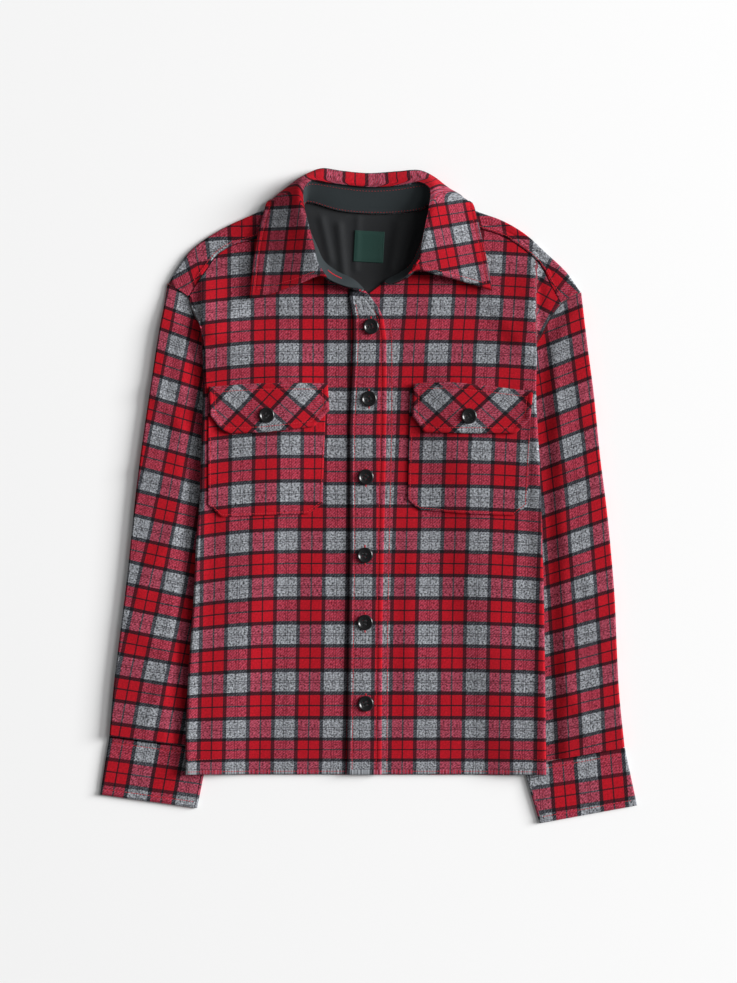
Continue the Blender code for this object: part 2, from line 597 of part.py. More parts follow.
def add_sleeve(side):
    """A sleeve from the armhole seam to the cuff seam, flattened, with its inner side under the body."""
    cap = resample(ARMHOLE[side], 40)
    bulge = cap - straight_line((*cap[0], *cap[-1]))
    rows = resample([(*cap[0], *cap[-1])] + SLEEVE[side], SLEEVE_RINGS)
    lines = [straight_line(row) + bulge * smooth_step(1.0 - i / CAP_RINGS) for i, row in enumerate(rows)]
    return add_tube("sleeve_" + side, lines)


def add_cuff(side):
    """A cuff: a flattened band below the sleeve."""
    return add_tube("cuff_" + side, [straight_line(row) for row in CUFF[side]])


def strip_plan(table, columns, rows):
    """A plan grid between a top line and a bottom line, with the table's corners kept."""
    table = np.asarray(table, float)
    places = np.unique(np.r_[np.linspace(0.0, len(table) - 1.0, columns), np.arange(len(table))])
    tops = np.column_stack([np.interp(places, np.arange(len(table)), table[:, k]) for k in range(4)])
    w = np.linspace(0.0, 1.0, rows)[None, :, None]
    return tops[:, None, 2:] * (1 - w) + tops[:, None, :2] * w


def add_pocket(side):
    plan = strip_plan(POCKET[side], 10, 7)
    add_flat("pocket_" + side, plan, POCKET_TOP, CLOTH, "flannel")
    plan = strip_plan(FLAP[side], 11, 4)
    add_flat("flap_" + side, plan, FLAP_TOP, DOUBLE, "flannel_bias")


def add_placket():
    table = np.asarray(BAND)
    y = np.unique(np.r_[np.linspace(HEM_Y - 0.6, 182.0, 14), table[:, 0]])
    left, right = (np.interp(y, table[:, 0], table[:, k]) for k in (1, 2))
    w = np.linspace(0.0, 1.0, 3)[:, None]
    x = left * (1 - w) + right * w
    plan = np.dstack([x, np.broadcast_to(y, x.shape)])
    plan[0, -1, 1] += 8.0
    plan[1, -1, 1] += 4.0
    return add_flat("placket", plan, BAND_TOP, DOUBLE, "flannel")


def add_lining():
    """The lining in the neck, which goes on a little way under the fronts."""
    reach = 9.0
    right = [(row[0] - reach, row[1]) for row in RIGHT_STAND[:7]]
    left = [(row[0] + reach, row[1]) for row in LEFT_STAND[:7]]
    rows = 10
    left_line = resample([(-30.0, 208.0)] + right, rows)
    right_line = resample([(30.0, 208.0)] + left, rows)
    back = [(-72.0, 335.8), (-62.0, 335.2), (-33.0, 326.6), (0.0, 323.4), (33.0, 324.0), (60.0, 327.6),
            (68.0, 332.4)]
    top = resample([tuple(left_line[-1])] + back + [tuple(right_line[-1])], 17, rounded=False)
    bottom = resample([left_line[0], right_line[0]], 17, rounded=False)
    plan = patch(bottom, top, left_line, right_line)
    return add_flat("back_lining", plan.transpose(1, 0, 2), CLOTH + GAP + THIN, THIN, "charcoal_lining")


def add_label():
    w, h = LABEL_SIZE
    u = np.linspace(-0.5, 0.5, 4)[:, None] * w
    v = np.linspace(-0.5, 0.5, 4)[None, :] * h
    x = LABEL_CENTRE[0] + u * math.cos(LABEL_TURN) - v * math.sin(LABEL_TURN)
    y = LABEL_CENTRE[1] + u * math.sin(LABEL_TURN) + v * math.cos(LABEL_TURN)
    level = CLOTH + GAP + THIN + GAP + THIN
    return add_flat("neck_label", np.dstack([x, y]), level, THIN, "green_label")


def button_mesh():
    """A four-hole button: a plate in four quarters round the holes, and a turned rim about it."""
    quarter = BUTTON_PLATE
    vertices, faces, lookup = [], [], {}

    def corner(x, y, z):
        key = (round(x, 4), round(y, 4), round(z, 4))
        if key not in lookup:
            lookup[key] = len(vertices)
            vertices.append((x, y, z))
        return lookup[key]

    plate_low, plate_high = 0.0, 1.9
    frame = [(0.0, 0.0), (quarter / 2, 0.0), (quarter, 0.0)]
    frame += [(quarter * math.cos(math.radians(a)), quarter * math.sin(math.radians(a)))
              for a in (22.5, 45.0, 67.5)]
    frame += [(0.0, quarter), (0.0, quarter / 2)]
    for turn in range(4):
        c, s = round(math.cos(turn * math.pi / 2)), round(math.sin(turn * math.pi / 2))
        for k in range(8):
            ring_points = []
            for j in (k, (k + 1) % 8):
                fx, fy = frame[j]
                angle = math.atan2(fy - HOLE_OFFSET, fx - HOLE_OFFSET)
                hx = HOLE_OFFSET + HOLE_RADIUS * math.cos(angle)
                hy = HOLE_OFFSET + HOLE_RADIUS * math.sin(angle)
                ring_points.append(((fx * c - fy * s, fx * s + fy * c), (hx * c - hy * s, hx * s + hy * c)))
            (f0, h0), (f1, h1) = ring_points
            faces.append([corner(*f0, plate_high), corner(*f1, plate_high), corner(*h1, plate_high),
                          corner(*h0, plate_high)])
            faces.append([corner(*h0, plate_low), corner(*h1, plate_low), corner(*f1, plate_low),
                          corner(*f0, plate_low)])
            faces.append([corner(*h0, plate_high), corner(*h1, plate_high), corner(*h1, plate_low),
                          corner(*h0, plate_low)])
    profile = [(quarter, plate_high), (6.6, BUTTON_HEIGHT), (8.1, BUTTON_HEIGHT), (BUTTON_RADIUS, 2.0),
               (8.6, 0.7), (7.2, 0.0), (quarter, plate_low)]
    angles = [math.radians(22.5 * i) for i in range(16)]
    for (r0, z0), (r1, z1) in zip(profile, profile[1:]):
        for i, a in enumerate(angles):
            b = angles[(i + 1) % 16]
            faces.append([corner(r0 * math.cos(a), r0 * math.sin(a), z0),
                          corner(r1 * math.cos(a), r1 * math.sin(a), z1),
                          corner(r1 * math.cos(b), r1 * math.sin(b), z1),
                          corner(r0 * math.cos(b), r0 * math.sin(b), z0)])
    return np.array(vertices), faces


def add_button(name, place, level):
    vertices, faces = button_mesh()
    piece = add_solid(name, vertices, faces, "black_button")
    piece.location = (place[0] * MM, place[1] * MM, (float(ground(*place)) + level + GAP) * MM)
    return piece


def build():
    clear_scene()
    add_back()
    add_yoke()
    for side in SIDES:
        add_front(side)
        add_sleeve(side)
        add_cuff(side)
        add_pocket(side)
        add_button("flap_button_" + side, BUTTONS_ON_FLAPS[side], FLAP_TOP)
    add_placket()
    add_lining()
    add_label()
    add_stand()
    add_leaf()
    for number, place in enumerate(BUTTONS_ON_BAND, start=1):
        add_button("button_{}".format(number), place, BAND_TOP)


build()
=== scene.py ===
# %% [markdown]
# # A flannel shacket, laid flat
# The garment lies front up on a white table, seen from straight above. Its body is folded under along both
# sides and its sleeves lie flat beside and behind it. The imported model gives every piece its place, and this
# script dresses each one as cloth: a thin wall with the same plan, a woven check that follows the cut of the
# piece, soft folds and sewn edges.

# %% Load the frame
import math

import bmesh
import bpy
import numpy as np
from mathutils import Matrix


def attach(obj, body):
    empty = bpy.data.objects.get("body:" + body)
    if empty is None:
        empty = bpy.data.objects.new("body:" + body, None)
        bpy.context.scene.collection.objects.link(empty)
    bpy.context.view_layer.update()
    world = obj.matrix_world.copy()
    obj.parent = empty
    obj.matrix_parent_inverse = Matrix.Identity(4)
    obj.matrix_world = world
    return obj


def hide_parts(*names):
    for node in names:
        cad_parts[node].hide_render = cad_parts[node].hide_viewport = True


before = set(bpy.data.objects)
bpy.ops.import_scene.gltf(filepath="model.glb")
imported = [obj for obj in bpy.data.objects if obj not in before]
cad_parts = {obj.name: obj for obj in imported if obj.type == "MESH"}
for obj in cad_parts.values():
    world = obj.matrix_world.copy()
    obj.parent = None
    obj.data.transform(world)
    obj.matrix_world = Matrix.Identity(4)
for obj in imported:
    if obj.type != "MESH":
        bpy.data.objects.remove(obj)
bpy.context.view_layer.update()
MM = 0.001

# %% [markdown]
# ## The camera, the table and the light
# The picture is taken from straight above, from far enough away that hardly anything leans. Two large soft
# lights stand to the right: a low one, which rakes over the folds and throws the shadow to the left, and a
# weaker one higher up, which softens it. A faint even sky fills the rest, as in a product photograph.

# %% Camera
CAMERA_HEIGHT = 3.0
FRAME_HEIGHT = 1.1305
SENSOR = 36.0
CAMERA_CENTRE = (-0.0001, 0.0055)

camera_data = bpy.data.cameras.new("overhead_camera")
camera_data.sensor_width = SENSOR
camera_data.lens = SENSOR * CAMERA_HEIGHT / FRAME_HEIGHT
camera_data.clip_end = 20.0
camera = bpy.data.objects.new("overhead_camera", camera_data)
camera.location = (*CAMERA_CENTRE, CAMERA_HEIGHT)
bpy.context.scene.collection.objects.link(camera)
bpy.context.scene.camera = camera
bpy.context.scene.view_settings.view_transform = "Standard"
print("lens", round(camera_data.lens, 2), "mm")

# %% Table
FLOOR_HALF = 4.0

floor_mesh = bpy.data.meshes.new("table_top")
floor_mesh.from_pydata([(-FLOOR_HALF, -FLOOR_HALF, 0), (FLOOR_HALF, -FLOOR_HALF, 0),
                        (FLOOR_HALF, FLOOR_HALF, 0), (-FLOOR_HALF, FLOOR_HALF, 0)], [], [(0, 1, 2, 3)])
floor = bpy.data.objects.new("table_top", floor_mesh)
bpy.context.scene.collection.objects.link(floor)
floor_material = bpy.data.materials.new("white_table")
floor_material.use_nodes = True
floor_shader = floor_material.node_tree.nodes["Principled BSDF"]
floor_shader.inputs["Base Color"].default_value = (0.9, 0.9, 0.9, 1.0)
floor_shader.inputs["Roughness"].default_value = 0.9
floor_shader.inputs["Specular IOR Level"].default_value = 0.1
floor_mesh.materials.append(floor_material)
print("table", 2 * FLOOR_HALF, "m wide")

# %% Lights
SKY_STRENGTH = 0.18


def area_light(name, place, target, size, power):
    """A square area light at a place, turned to look at the target."""
    data = bpy.data.lights.new(name, "AREA")
    data.size = size
    data.energy = power
    lamp = bpy.data.objects.new(name, data)
    lamp.location = place
    direction = np.array(target) - np.array(place)
    tilt = math.atan2(math.hypot(direction[0], direction[1]), -direction[2])
    heading = math.atan2(direction[1], direction[0]) - math.pi / 2
    lamp.rotation_euler = (tilt, 0.0, heading)
    bpy.context.scene.collection.objects.link(lamp)
    return lamp


area_light("key_light", (19.8, 4.6, 8.4), (0.0, 0.0, 0.0), 9.0, 8700.0)
area_light("fill_light", (9.2, 3.0, 11.0), (0.0, 0.0, 0.0), 4.5, 590.0)

world = bpy.data.worlds.new("pale_studio")
world.use_nodes = True
world.node_tree.nodes["Background"].inputs["Color"].default_value = (1.0, 1.0, 1.0, 1.0)
world.node_tree.nodes["Background"].inputs["Strength"].default_value = SKY_STRENGTH
bpy.context.scene.world = world

# %% [markdown]
# ## The measures of the garment
# A garment is cut from a few measures, so the script starts with them too. All lengths below are in
# millimetres, with X across the chest, Y up towards the collar and Z up off the table. They are the same
# tables that the solid model is made from, and the finer cloth is worked out from them again.

# %% Thicknesses and levels
CLOTH = 1.8
DOUBLE = 2.3
THIN = 1.0
GAP = 0.4
SEAM_GAP = 1.0
PATCH_GAP = 0.6
SLEEVE_HEIGHT = 4.8
SLEEVE_CLEARANCE = 0.8
FRONT_BOTTOM = CLOTH + THIN + 2.5 * GAP
FRONT_TOP = FRONT_BOTTOM + CLOTH
FOLD_RADIUS = FRONT_TOP / 2
BAND_TOP = FRONT_TOP + GAP + DOUBLE
POCKET_TOP = FRONT_TOP + PATCH_GAP + CLOTH
FLAP_TOP = POCKET_TOP + PATCH_GAP + DOUBLE
LEAF_REST = DOUBLE + 2 * GAP
HEM_Y = -319.0
YOKE_SEAM_Y = 232.0
FRONT_MEET_X = -15.5
FOLD_MARGIN = 46.0
FULL_MARGIN_Y = 90.0
SLEEVE_SOFTNESS = 60.0
LEAF_SOFTNESS = 45.0
SIDES = {"right": -1, "left": 1}
print("levels of front, band, pocket and flap", FRONT_TOP, BAND_TOP, POCKET_TOP, FLAP_TOP)

# %% Neck, collar and yoke tables
# Neck seam from the front tip to the centre back: neck x, y, z, then top of the stand x, y, z
RIGHT_STAND = [
    (-4.5, 237.2, 11.4, -10.5, 238.2, 15.0), (-16.8, 248.7, 11.2, -26.0, 240.3, 19.0),
    (-37.5, 259.1, 9.6, -47.0, 249.5, 22.0), (-51.3, 270.6, 9.4, -57.0, 265.0, 24.0),
    (-59.3, 287.8, 9.2, -62.5, 288.0, 25.5), (-69.0, 309.7, 9.4, -68.8, 312.0, 26.0),
    (-73.4, 327.0, 9.6, -74.0, 334.0, 25.5), (-72.0, 336.6, 9.6, -73.6, 350.5, 22.5),
    (-63.0, 336.2, 9.4, -65.8, 360.4, 18.5), (-32.9, 327.4, 9.2, -32.9, 356.8, 15.5),
    (0.0, 324.3, 9.2, 0.0, 353.5, 14.5),
]
LEFT_STAND = [
    (18.0, 246.5, 9.6, 22.0, 243.5, 13.0), (24.3, 250.9, 9.4, 32.0, 246.0, 16.5),
    (36.1, 256.8, 9.2, 45.0, 253.2, 21.0), (48.8, 267.1, 9.2, 54.8, 265.5, 23.5),
    (56.8, 283.2, 9.2, 60.0, 285.0, 25.0), (64.8, 306.0, 9.4, 65.2, 312.0, 26.0),
    (69.0, 323.5, 9.6, 69.6, 334.9, 25.5), (68.0, 333.6, 9.6, 70.0, 350.0, 22.5),
    (59.5, 328.6, 9.4, 63.8, 359.4, 18.5), (32.7, 324.8, 9.2, 32.7, 355.1, 15.5),
]
# Collar leaf from the right point round the back to the left point: crest x, y, z just outside the roll,
# middle x, y, z, silhouette x, y, z and outer edge x, y, z
LEAF = [
    (-58.0, 250.6, 26.0, -79.0, 242.6, 22.5, -110.0, 232.4, 15.0, -137.3, 226.6, 12.6),
    (-66.5, 279.5, 29.0, -86.0, 276.5, 23.5, -112.0, 272.5, 15.5, -132.4, 269.0, 12.4),
    (-73.5, 304.8, 29.5, -91.0, 303.5, 23.0, -112.0, 301.5, 15.5, -127.2, 300.0, 12.2),
    (-78.5, 327.0, 29.5, -92.0, 326.5, 23.0, -108.0, 326.5, 15.5, -120.6, 325.5, 12.0),
    (-80.0, 341.0, 28.0, -92.0, 343.0, 21.0, -106.0, 342.4, 13.0, -117.4, 337.4, 6.5),
    (-79.0, 354.5, 24.5, -86.0, 356.4, 18.0, -95.0, 353.9, 7.5, -111.5, 336.2, 0.0),
    (-71.0, 364.0, 20.5, -74.0, 367.0, 15.0, -77.0, 366.2, 6.0, -96.0, 325.0, 0.0),
    (-54.0, 362.3, 19.0, -54.5, 368.8, 15.5, -55.0, 376.2, 6.0, -64.0, 322.0, 0.0),
    (-30.0, 359.6, 18.5, -30.0, 366.0, 15.0, -30.0, 373.4, 6.0, -32.0, 322.0, 0.0),
    (0.0, 356.6, 18.0, 0.0, 362.8, 14.5, 0.0, 370.9, 6.0, 0.0, 322.0, 0.0),
    (32.0, 358.4, 18.5, 32.0, 365.0, 15.0, 32.0, 372.9, 6.0, 32.0, 322.0, 0.0),
    (55.0, 362.0, 19.0, 56.0, 367.6, 15.5, 57.0, 374.4, 6.0, 64.0, 322.0, 0.0),
    (69.0, 362.0, 20.5, 71.5, 365.5, 15.0, 74.6, 367.2, 6.0, 97.0, 325.0, 0.0),
    (76.0, 353.0, 24.5, 83.0, 355.4, 18.0, 91.5, 354.4, 7.5, 115.0, 335.6, 0.0),
    (76.0, 337.5, 28.0, 90.0, 340.5, 21.0, 107.0, 342.2, 13.5, 120.6, 335.2, 7.5),
    (74.5, 325.0, 29.5, 90.0, 325.0, 23.0, 109.0, 323.0, 15.5, 124.6, 320.5, 12.0),
    (70.5, 306.0, 29.5, 90.0, 303.5, 23.0, 113.0, 299.5, 15.5, 130.4, 296.0, 12.2),
    (64.0, 284.0, 29.0, 87.0, 279.0, 23.5, 116.0, 272.0, 15.5, 136.4, 267.5, 12.4),
    (56.5, 257.6, 26.0, 79.0, 252.6, 22.5, 114.0, 244.0, 15.0, 142.0, 235.3, 12.6),
]
# Yoke from an armhole to the centre back: back seam x, fold x, y, front edge x, y, share of the half turn
RIGHT_YOKE = [
    (-209.0, -229.6, 244.6, -206.4, 229.6, 1.0), (-198.0, -219.4, 262.6, -197.3, 245.3, 1.0),
    (-183.0, -205.0, 281.6, -186.3, 260.6, 1.0), (-166.0, -184.2, 297.8, -175.0, 276.6, 1.0),
    (-148.0, -159.5, 311.8, -158.0, 287.8, 1.0), (-126.0, -132.0, 324.0, -134.0, 294.4, 1.0),
    (-104.0, -109.0, 334.0, -105.0, 303.5, 1.0), (-88.0, -90.0, 341.0, -72.4, 310.5, 1.0),
    (-78.0, -81.0, 343.5, -76.8, 327.0, 1.0), (-69.0, -74.0, 342.5, -72.5, 339.0, 0.6),
    (-60.0, -62.0, 333.6, -62.0, 336.5, 0.0), (-33.0, -33.0, 324.6, -33.0, 327.5, 0.0),
    (0.0, 0.0, 321.0, 0.0, 323.9, 0.0),
]
LEFT_YOKE = [
    (232.0, 243.4, 234.6, 221.0, 222.6, 1.0), (212.0, 226.4, 258.4, 210.7, 241.5, 1.0),
    (190.0, 204.2, 279.2, 198.4, 264.2, 1.0), (172.0, 185.0, 297.2, 184.2, 279.1, 1.0),
    (150.0, 168.2, 309.0, 158.0, 297.0, 1.0), (128.0, 150.0, 318.2, 133.0, 306.0, 1.0),
    (108.0, 130.0, 325.0, 106.0, 311.5, 1.0), (90.0, 100.0, 336.0, 71.0, 313.0, 1.0),
    (78.0, 80.0, 342.6, 72.6, 327.0, 1.0), (68.0, 71.5, 340.5, 69.5, 336.5, 0.6),
    (58.0, 59.5, 325.6, 59.5, 328.5, 0.0), (33.0, 33.0, 321.8, 33.0, 324.7, 0.0),
]
print("stations on the stand", len(RIGHT_STAND + LEFT_STAND), "on the leaf", len(LEAF),
      "and on the yoke", len(RIGHT_YOKE + LEFT_YOKE))

# %% Armhole, side and sleeve tables
# Seam between sleeve and body on top, from the shoulder corner to the underarm, which is hidden
ARMHOLE = {
    "right": [(-231.2, 244.2), (-222.2, 239.2), (-214.8, 234.2), (-207.6, 226.8), (-203.6, 215.6),
              (-195.4, 199.0), (-172.0, 172.0), (-138.0, 152.0), (-98.0, 141.0)],
    "left": [(244.8, 234.0), (234.4, 230.0), (220.6, 219.2), (212.1, 209.0), (203.0, 192.7),
             (196.4, 180.2), (172.0, 155.0), (138.0, 136.0), (104.0, 126.0)],
}
# The side fold of the body from the armhole down to the hem
SIDE_FOLD = {
    "right": [(-194.4, 194.0), (-191.0, 166.0), (-190.4, 110.7), (-192.3, 51.5), (-194.2, -4.3),
              (-197.9, -50.3), (-201.1, -115.2), (-204.4, -163.6), (-207.7, -212.1), (-210.0, -276.6),
              (-210.7, HEM_Y)],
    "left": [(194.6, 176.0), (193.4, 156.7), (192.7, 110.7), (194.8, 68.8), (197.8, 14.1), (199.2, -44.2),
             (201.1, -99.0), (202.2, -163.5), (202.9, -211.8), (203.6, -276.5), (204.5, HEM_Y)],
}
# Sleeve and cuff sections: outer edge x, y and hidden inner edge x, y
SLEEVE = {
    "right": [(-236.0, 216.0, -96.0, 112.0), (-242.0, 184.3, -98.0, 84.0), (-252.3, 115.3, -112.0, 36.0),
              (-260.4, 60.1, -124.0, -8.0), (-267.4, 4.9, -136.0, -52.0), (-273.1, -50.3, -147.0, -100.0),
              (-279.0, -105.5, -158.0, -150.0), (-286.0, -160.7, -168.0, -198.0),
              (-292.7, -215.9, -177.0, -246.0), (-297.9, -274.8, -183.6, -290.0)],
    "left": [(248.0, 206.0, 104.0, 96.0), (252.2, 170.5, 107.0, 66.0), (259.2, 115.3, 118.0, 20.0),
             (266.0, 46.3, 130.0, -32.0), (273.0, -8.9, 140.0, -76.0), (278.6, -64.1, 149.0, -122.0),
             (283.0, -119.3, 157.0, -168.0), (285.3, -174.5, 165.0, -216.0),
             (288.2, -228.8, 172.0, -262.0), (294.2, -288.0, 177.2, -309.0)],
}
CUFF = {
    "right": [(-298.0, -275.6, -183.7, -290.8), (-303.3, -309.0, -190.2, -324.6),
              (-308.5, -342.7, -197.0, -358.3)],
    "left": [(294.4, -288.8, 177.3, -309.8), (301.4, -322.0, 186.8, -342.8), (308.5, -355.1, 196.5, -375.7)],
}
print("sleeve sections", {side: len(rows) for side, rows in SLEEVE.items()})

# %% Band, pocket and flap tables
# Button band: height y, left edge x, right edge x
BAND = [
    (HEM_Y - 0.6, -25.3, 14.8), (-146.9, -23.4, 15.9), (-66.4, -22.2, 17.4), (78.5, -22.4, 20.5),
    (146.4, -19.2, 20.7), (182.0, -18.2, 20.4), (203.9, -18.2, 17.2), (215.4, -20.0, 12.0),
    (225.7, -22.0, 4.8), (235.4, -23.2, -3.4),
]
BUTTONS_ON_BAND = [(2.8, 194.7), (0.5, 111.9), (-3.0, 22.2), (-4.1, -67.5), (-4.1, -144.6), (-3.0, -237.7)]
BUTTONS_ON_FLAPS = {"right": (-116.5, 92.9), "left": (114.9, 91.8)}
# Pockets and flaps: column x at the top, top y, column x at the bottom, bottom y
POCKET = {
    "right": [(-183.6, 122.0, -184.0, -9.6), (-168.6, 122.0, -168.6, -23.8), (-150.0, 122.0, -150.0, -23.2),
              (-109.0, 122.0, -109.0, -21.8), (-68.0, 122.0, -68.8, -20.4), (-48.6, 122.0, -53.0, -8.2)],
    "left": [(46.8, 122.0, 44.6, -3.4), (59.5, 122.0, 57.6, -15.6), (109.0, 122.0, 107.6, -20.0),
             (150.0, 118.0, 148.0, -21.6), (168.5, 116.0, 166.6, -22.0), (186.4, 114.0, 181.8, -10.6)],
}
FLAP = {
    "right": [(-183.0, 125.4, -181.0, 92.4), (-169.0, 126.6, -168.6, 75.6), (-159.0, 127.4, -159.0, 71.8),
              (-122.6, 129.4, -122.6, 72.8), (-90.0, 129.8, -90.0, 76.2), (-62.5, 129.8, -62.2, 79.9),
              (-46.8, 129.6, -44.8, 98.6)],
    "left": [(51.4, 129.3, 50.4, 91.4), (64.4, 130.2, 64.2, 73.0), (92.0, 131.0, 92.0, 72.2),
             (130.0, 127.4, 130.0, 71.8), (168.0, 122.6, 168.4, 71.8), (188.4, 120.0, 185.0, 88.4)],
}
LABEL_CENTRE = (0.4, 286.6)
LABEL_SIZE = (34.6, 35.8)
LABEL_TURN = math.radians(-3.0)
print("buttons", len(BUTTONS_ON_BAND) + len(BUTTONS_ON_FLAPS))

# %% [markdown]
# ## Curves through the tables
# A seam is a smooth curve through a few measured points. A Catmull-Rom curve passes through every point, so
# the tables stay short. Each curve is then walked at even steps of length, or at chosen shares of it.

# %% Curve helpers


def smooth_step(value):
    """s(t) = t² (3 - 2 t) between 0 and 1: 0 below, 1 above, and a soft S between."""
    value = np.clip(value, 0.0, 1.0)
    return value * value * (3.0 - 2.0 * value)


def shares(count_or_shares):
    """Shares of a length from 0 to 1: evenly spaced if given as a number."""
    if np.ndim(count_or_shares) == 0:
        return np.linspace(0.0, 1.0, count_or_shares)
    return np.asarray(count_or_shares, float)


def catmull_rom(rows, places):
    """Points on the curve through the rows at row numbers: each stretch is the usual cubic of four rows."""
    rows = np.asarray(rows, float)
    ends = np.vstack([2 * rows[0] - rows[1], rows, 2 * rows[-1] - rows[-2]])
    i = np.minimum(places.astype(int), len(rows) - 2)
    t = (places - i)[:, None]
    a, b, c, d = ends[i], ends[i + 1], ends[i + 2], ends[i + 3]
    twice = (2 * b + (c - a) * t + (2 * a - 5 * b + 4 * c - d) * t ** 2
             + (3 * b - a - 3 * c + d) * t ** 3)
    return 0.5 * twice


def along(rows, steps, rounded=True):
    """Points at shares of the length of a line through the rows, rounded or straight between them."""
    rows = np.asarray(rows, float)
    if rounded:
        rows = catmull_rom(rows, np.linspace(0.0, len(rows) - 1.0, 12 * (len(rows) - 1) + 1))
    lengths = np.r_[0.0, np.cumsum(np.linalg.norm(np.diff(rows, axis=0), axis=1))]
    places = shares(steps) * lengths[-1]
    return np.column_stack([np.interp(places, lengths, rows[:, k]) for k in range(rows.shape[1])])


def blend_rows(rows, count):
    """count rows at even steps of the row number, on the curve through the rows."""
    return catmull_rom(rows, np.linspace(0.0, len(rows) - 1.0, count))


def moved_aside(points, distance):
    """The points of a plan curve moved to the left of its direction by the distance."""
    points = np.asarray(points, float)
    way = np.gradient(points, axis=0)
    way /= np.linalg.norm(way, axis=1)[:, None]
    return points + distance * np.column_stack([-way[:, 1], way[:, 0]])


def line_distance(x, y, line):
    """Distance from each point to a plan line: the least distance to any of its straight parts."""
    best = np.full(np.shape(x), 1e9)
    for (ax, ay), (bx, by) in zip(line[:-1], line[1:]):
        run = max((bx - ax) ** 2 + (by - ay) ** 2, 1e-9)
        t = np.clip(((x - ax) * (bx - ax) + (y - ay) * (by - ay)) / run, 0.0, 1.0)
        best = np.minimum(best, np.hypot(x - ax - t * (bx - ax), y - ay - t * (by - ay)))
    return best


def outline_distance(x, y, outline):
    """Distance from each point to a closed plan outline, and 0 inside it.

    A point is inside where a line from it to the right crosses the outline an odd number of times."""
    outline = np.asarray(outline, float)
    closed = np.vstack([outline, outline[:1]])
    inside = np.zeros(np.shape(x), bool)
    for (ax, ay), (bx, by) in zip(closed[:-1], closed[1:]):
        if ay != by:
            inside ^= ((ay > y) != (by > y)) & (x < (bx - ax) * (y - ay) / (by - ay) + ax)
    return np.where(inside, 0.0, line_distance(x, y, closed))


def edge_steps(length, step, close=(0.0, 0.3, 0.8, 1.6, 2.8, 4.2, 5.2, 6.0, 6.8, 7.8)):
    """Shares of a length: close together near both ends, for a rounded stitched edge, and even between."""
    near = np.asarray(close)
    middle = np.linspace(near[-1], length - near[-1], max(int((length - 2 * near[-1]) / step), 1) + 1)
    return np.unique(np.r_[near, middle, length - near]) / length


print("edge steps on 40 mm", len(edge_steps(40.0, 2.5)))

# %% [markdown]
# ## What the body lies on
# The body rests on the table, on its own sleeves and on the back of the collar. One function gives the height
# of its underside anywhere, and every layer of the front is laid at a level over it, so pockets, band and
# buttons follow the same swells. Soft folds are added to it: a ridge or trough falls away from a short line
# as a bell curve, so the cloth never creases sharply.

# %% Ground and folds


def sleeve_outline(side):
    """The plan outline of a sleeve and its cuff."""
    rows = SLEEVE[side] + CUFF[side]
    inner = [(row[2], row[3]) for row in rows]
    outer = [(row[0], row[1]) for row in reversed(rows)]
    return ARMHOLE[side] + inner + outer


def leaf_outline():
    """The plan outline of the part of the collar leaf that lies under the yoke."""
    back = LEAF[4:15]
    return [(row[9], row[10]) for row in back] + [(row[6], row[7]) for row in reversed(back)]


def ground(x, y):
    """Height of the body's underside: sleeves and collar lift it, with soft slopes round their outlines."""
    x, y = np.asarray(x, float), np.asarray(y, float)
    height = np.zeros(np.broadcast(x, y).shape)
    for side in SIDES:
        corner, turn = ARMHOLE[side][0], ARMHOLE[side][5]
        reach = smooth_step((corner[1] - y) / (corner[1] - turn[1]))
        near = smooth_step(1.0 - outline_distance(x, y, sleeve_outline(side)) / SLEEVE_SOFTNESS)
        height = np.maximum(height, (SLEEVE_HEIGHT + SLEEVE_CLEARANCE) * reach * near)
    near = smooth_step(1.0 - outline_distance(x, y, leaf_outline()) / LEAF_SOFTNESS)
    return height + LEAF_REST * near


def folds(x, y, table):
    """Sum of bells: height · exp(-(distance from a short line / width)²), each line's ends fading out."""
    total = np.zeros(np.shape(x))
    for ax, ay, bx, by, width, height in table:
        total = total + height * np.exp(-(line_distance(x, y, [(ax, ay), (bx, by)]) / width) ** 2)
    return total


# Soft folds of the fronts: start x, y, end x, y, width, height
BODY_FOLDS = [
    (-196.0, 170.0, -150.0, 215.0, 9.0, 1.6), (-176.0, 196.0, -120.0, 236.0, 12.0, 1.1),
    (-192.0, 70.0, -150.0, -60.0, 13.0, 0.9), (-120.0, -60.0, -150.0, -250.0, 20.0, 1.0),
    (-60.0, -90.0, -48.0, -240.0, 14.0, 0.8), (-90.0, 190.0, -80.0, 250.0, 16.0, 0.9),
    (196.0, 150.0, 150.0, 205.0, 9.0, 1.5), (180.0, 190.0, 128.0, 240.0, 12.0, 1.1),
    (60.0, 190.0, 84.0, 250.0, 16.0, 0.9), (186.0, 20.0, 160.0, -110.0, 14.0, 0.9),
    (110.0, -70.0, 140.0, -260.0, 20.0, 1.0), (50.0, -60.0, 46.0, -230.0, 14.0, 0.8),
    (-30.0, -40.0, -34.0, -290.0, 8.0, -0.5), (34.0, -30.0, 28.0, -290.0, 9.0, -0.6),
    (-200.0, 232.0, -198.0, 203.0, 5.0, -2.0), (197.5, 246.0, 197.0, 196.0, 4.6, -1.4),
]
# Fold edges near the armholes: x, lower end, upper end, height, side to which the edge drops
TUCKS = [(-191.5, 176.0, 258.0, 3.8, -1), (191.5, 172.0, 270.0, 2.6, 1)]
TUCK_DROP = 1.6
TUCK_SWELL = 20.0
# The roll along the folded sides: height, width, how far inside the fold its crest lies, and the place up
# the body at which it has died out towards the armhole, with the length of that fade
ROLL_HEIGHT = 3.2
ROLL_WIDTH = 9.0
ROLL_INSET = 3.0
ROLL_END_Y = 150.0
ROLL_FADE = 60.0


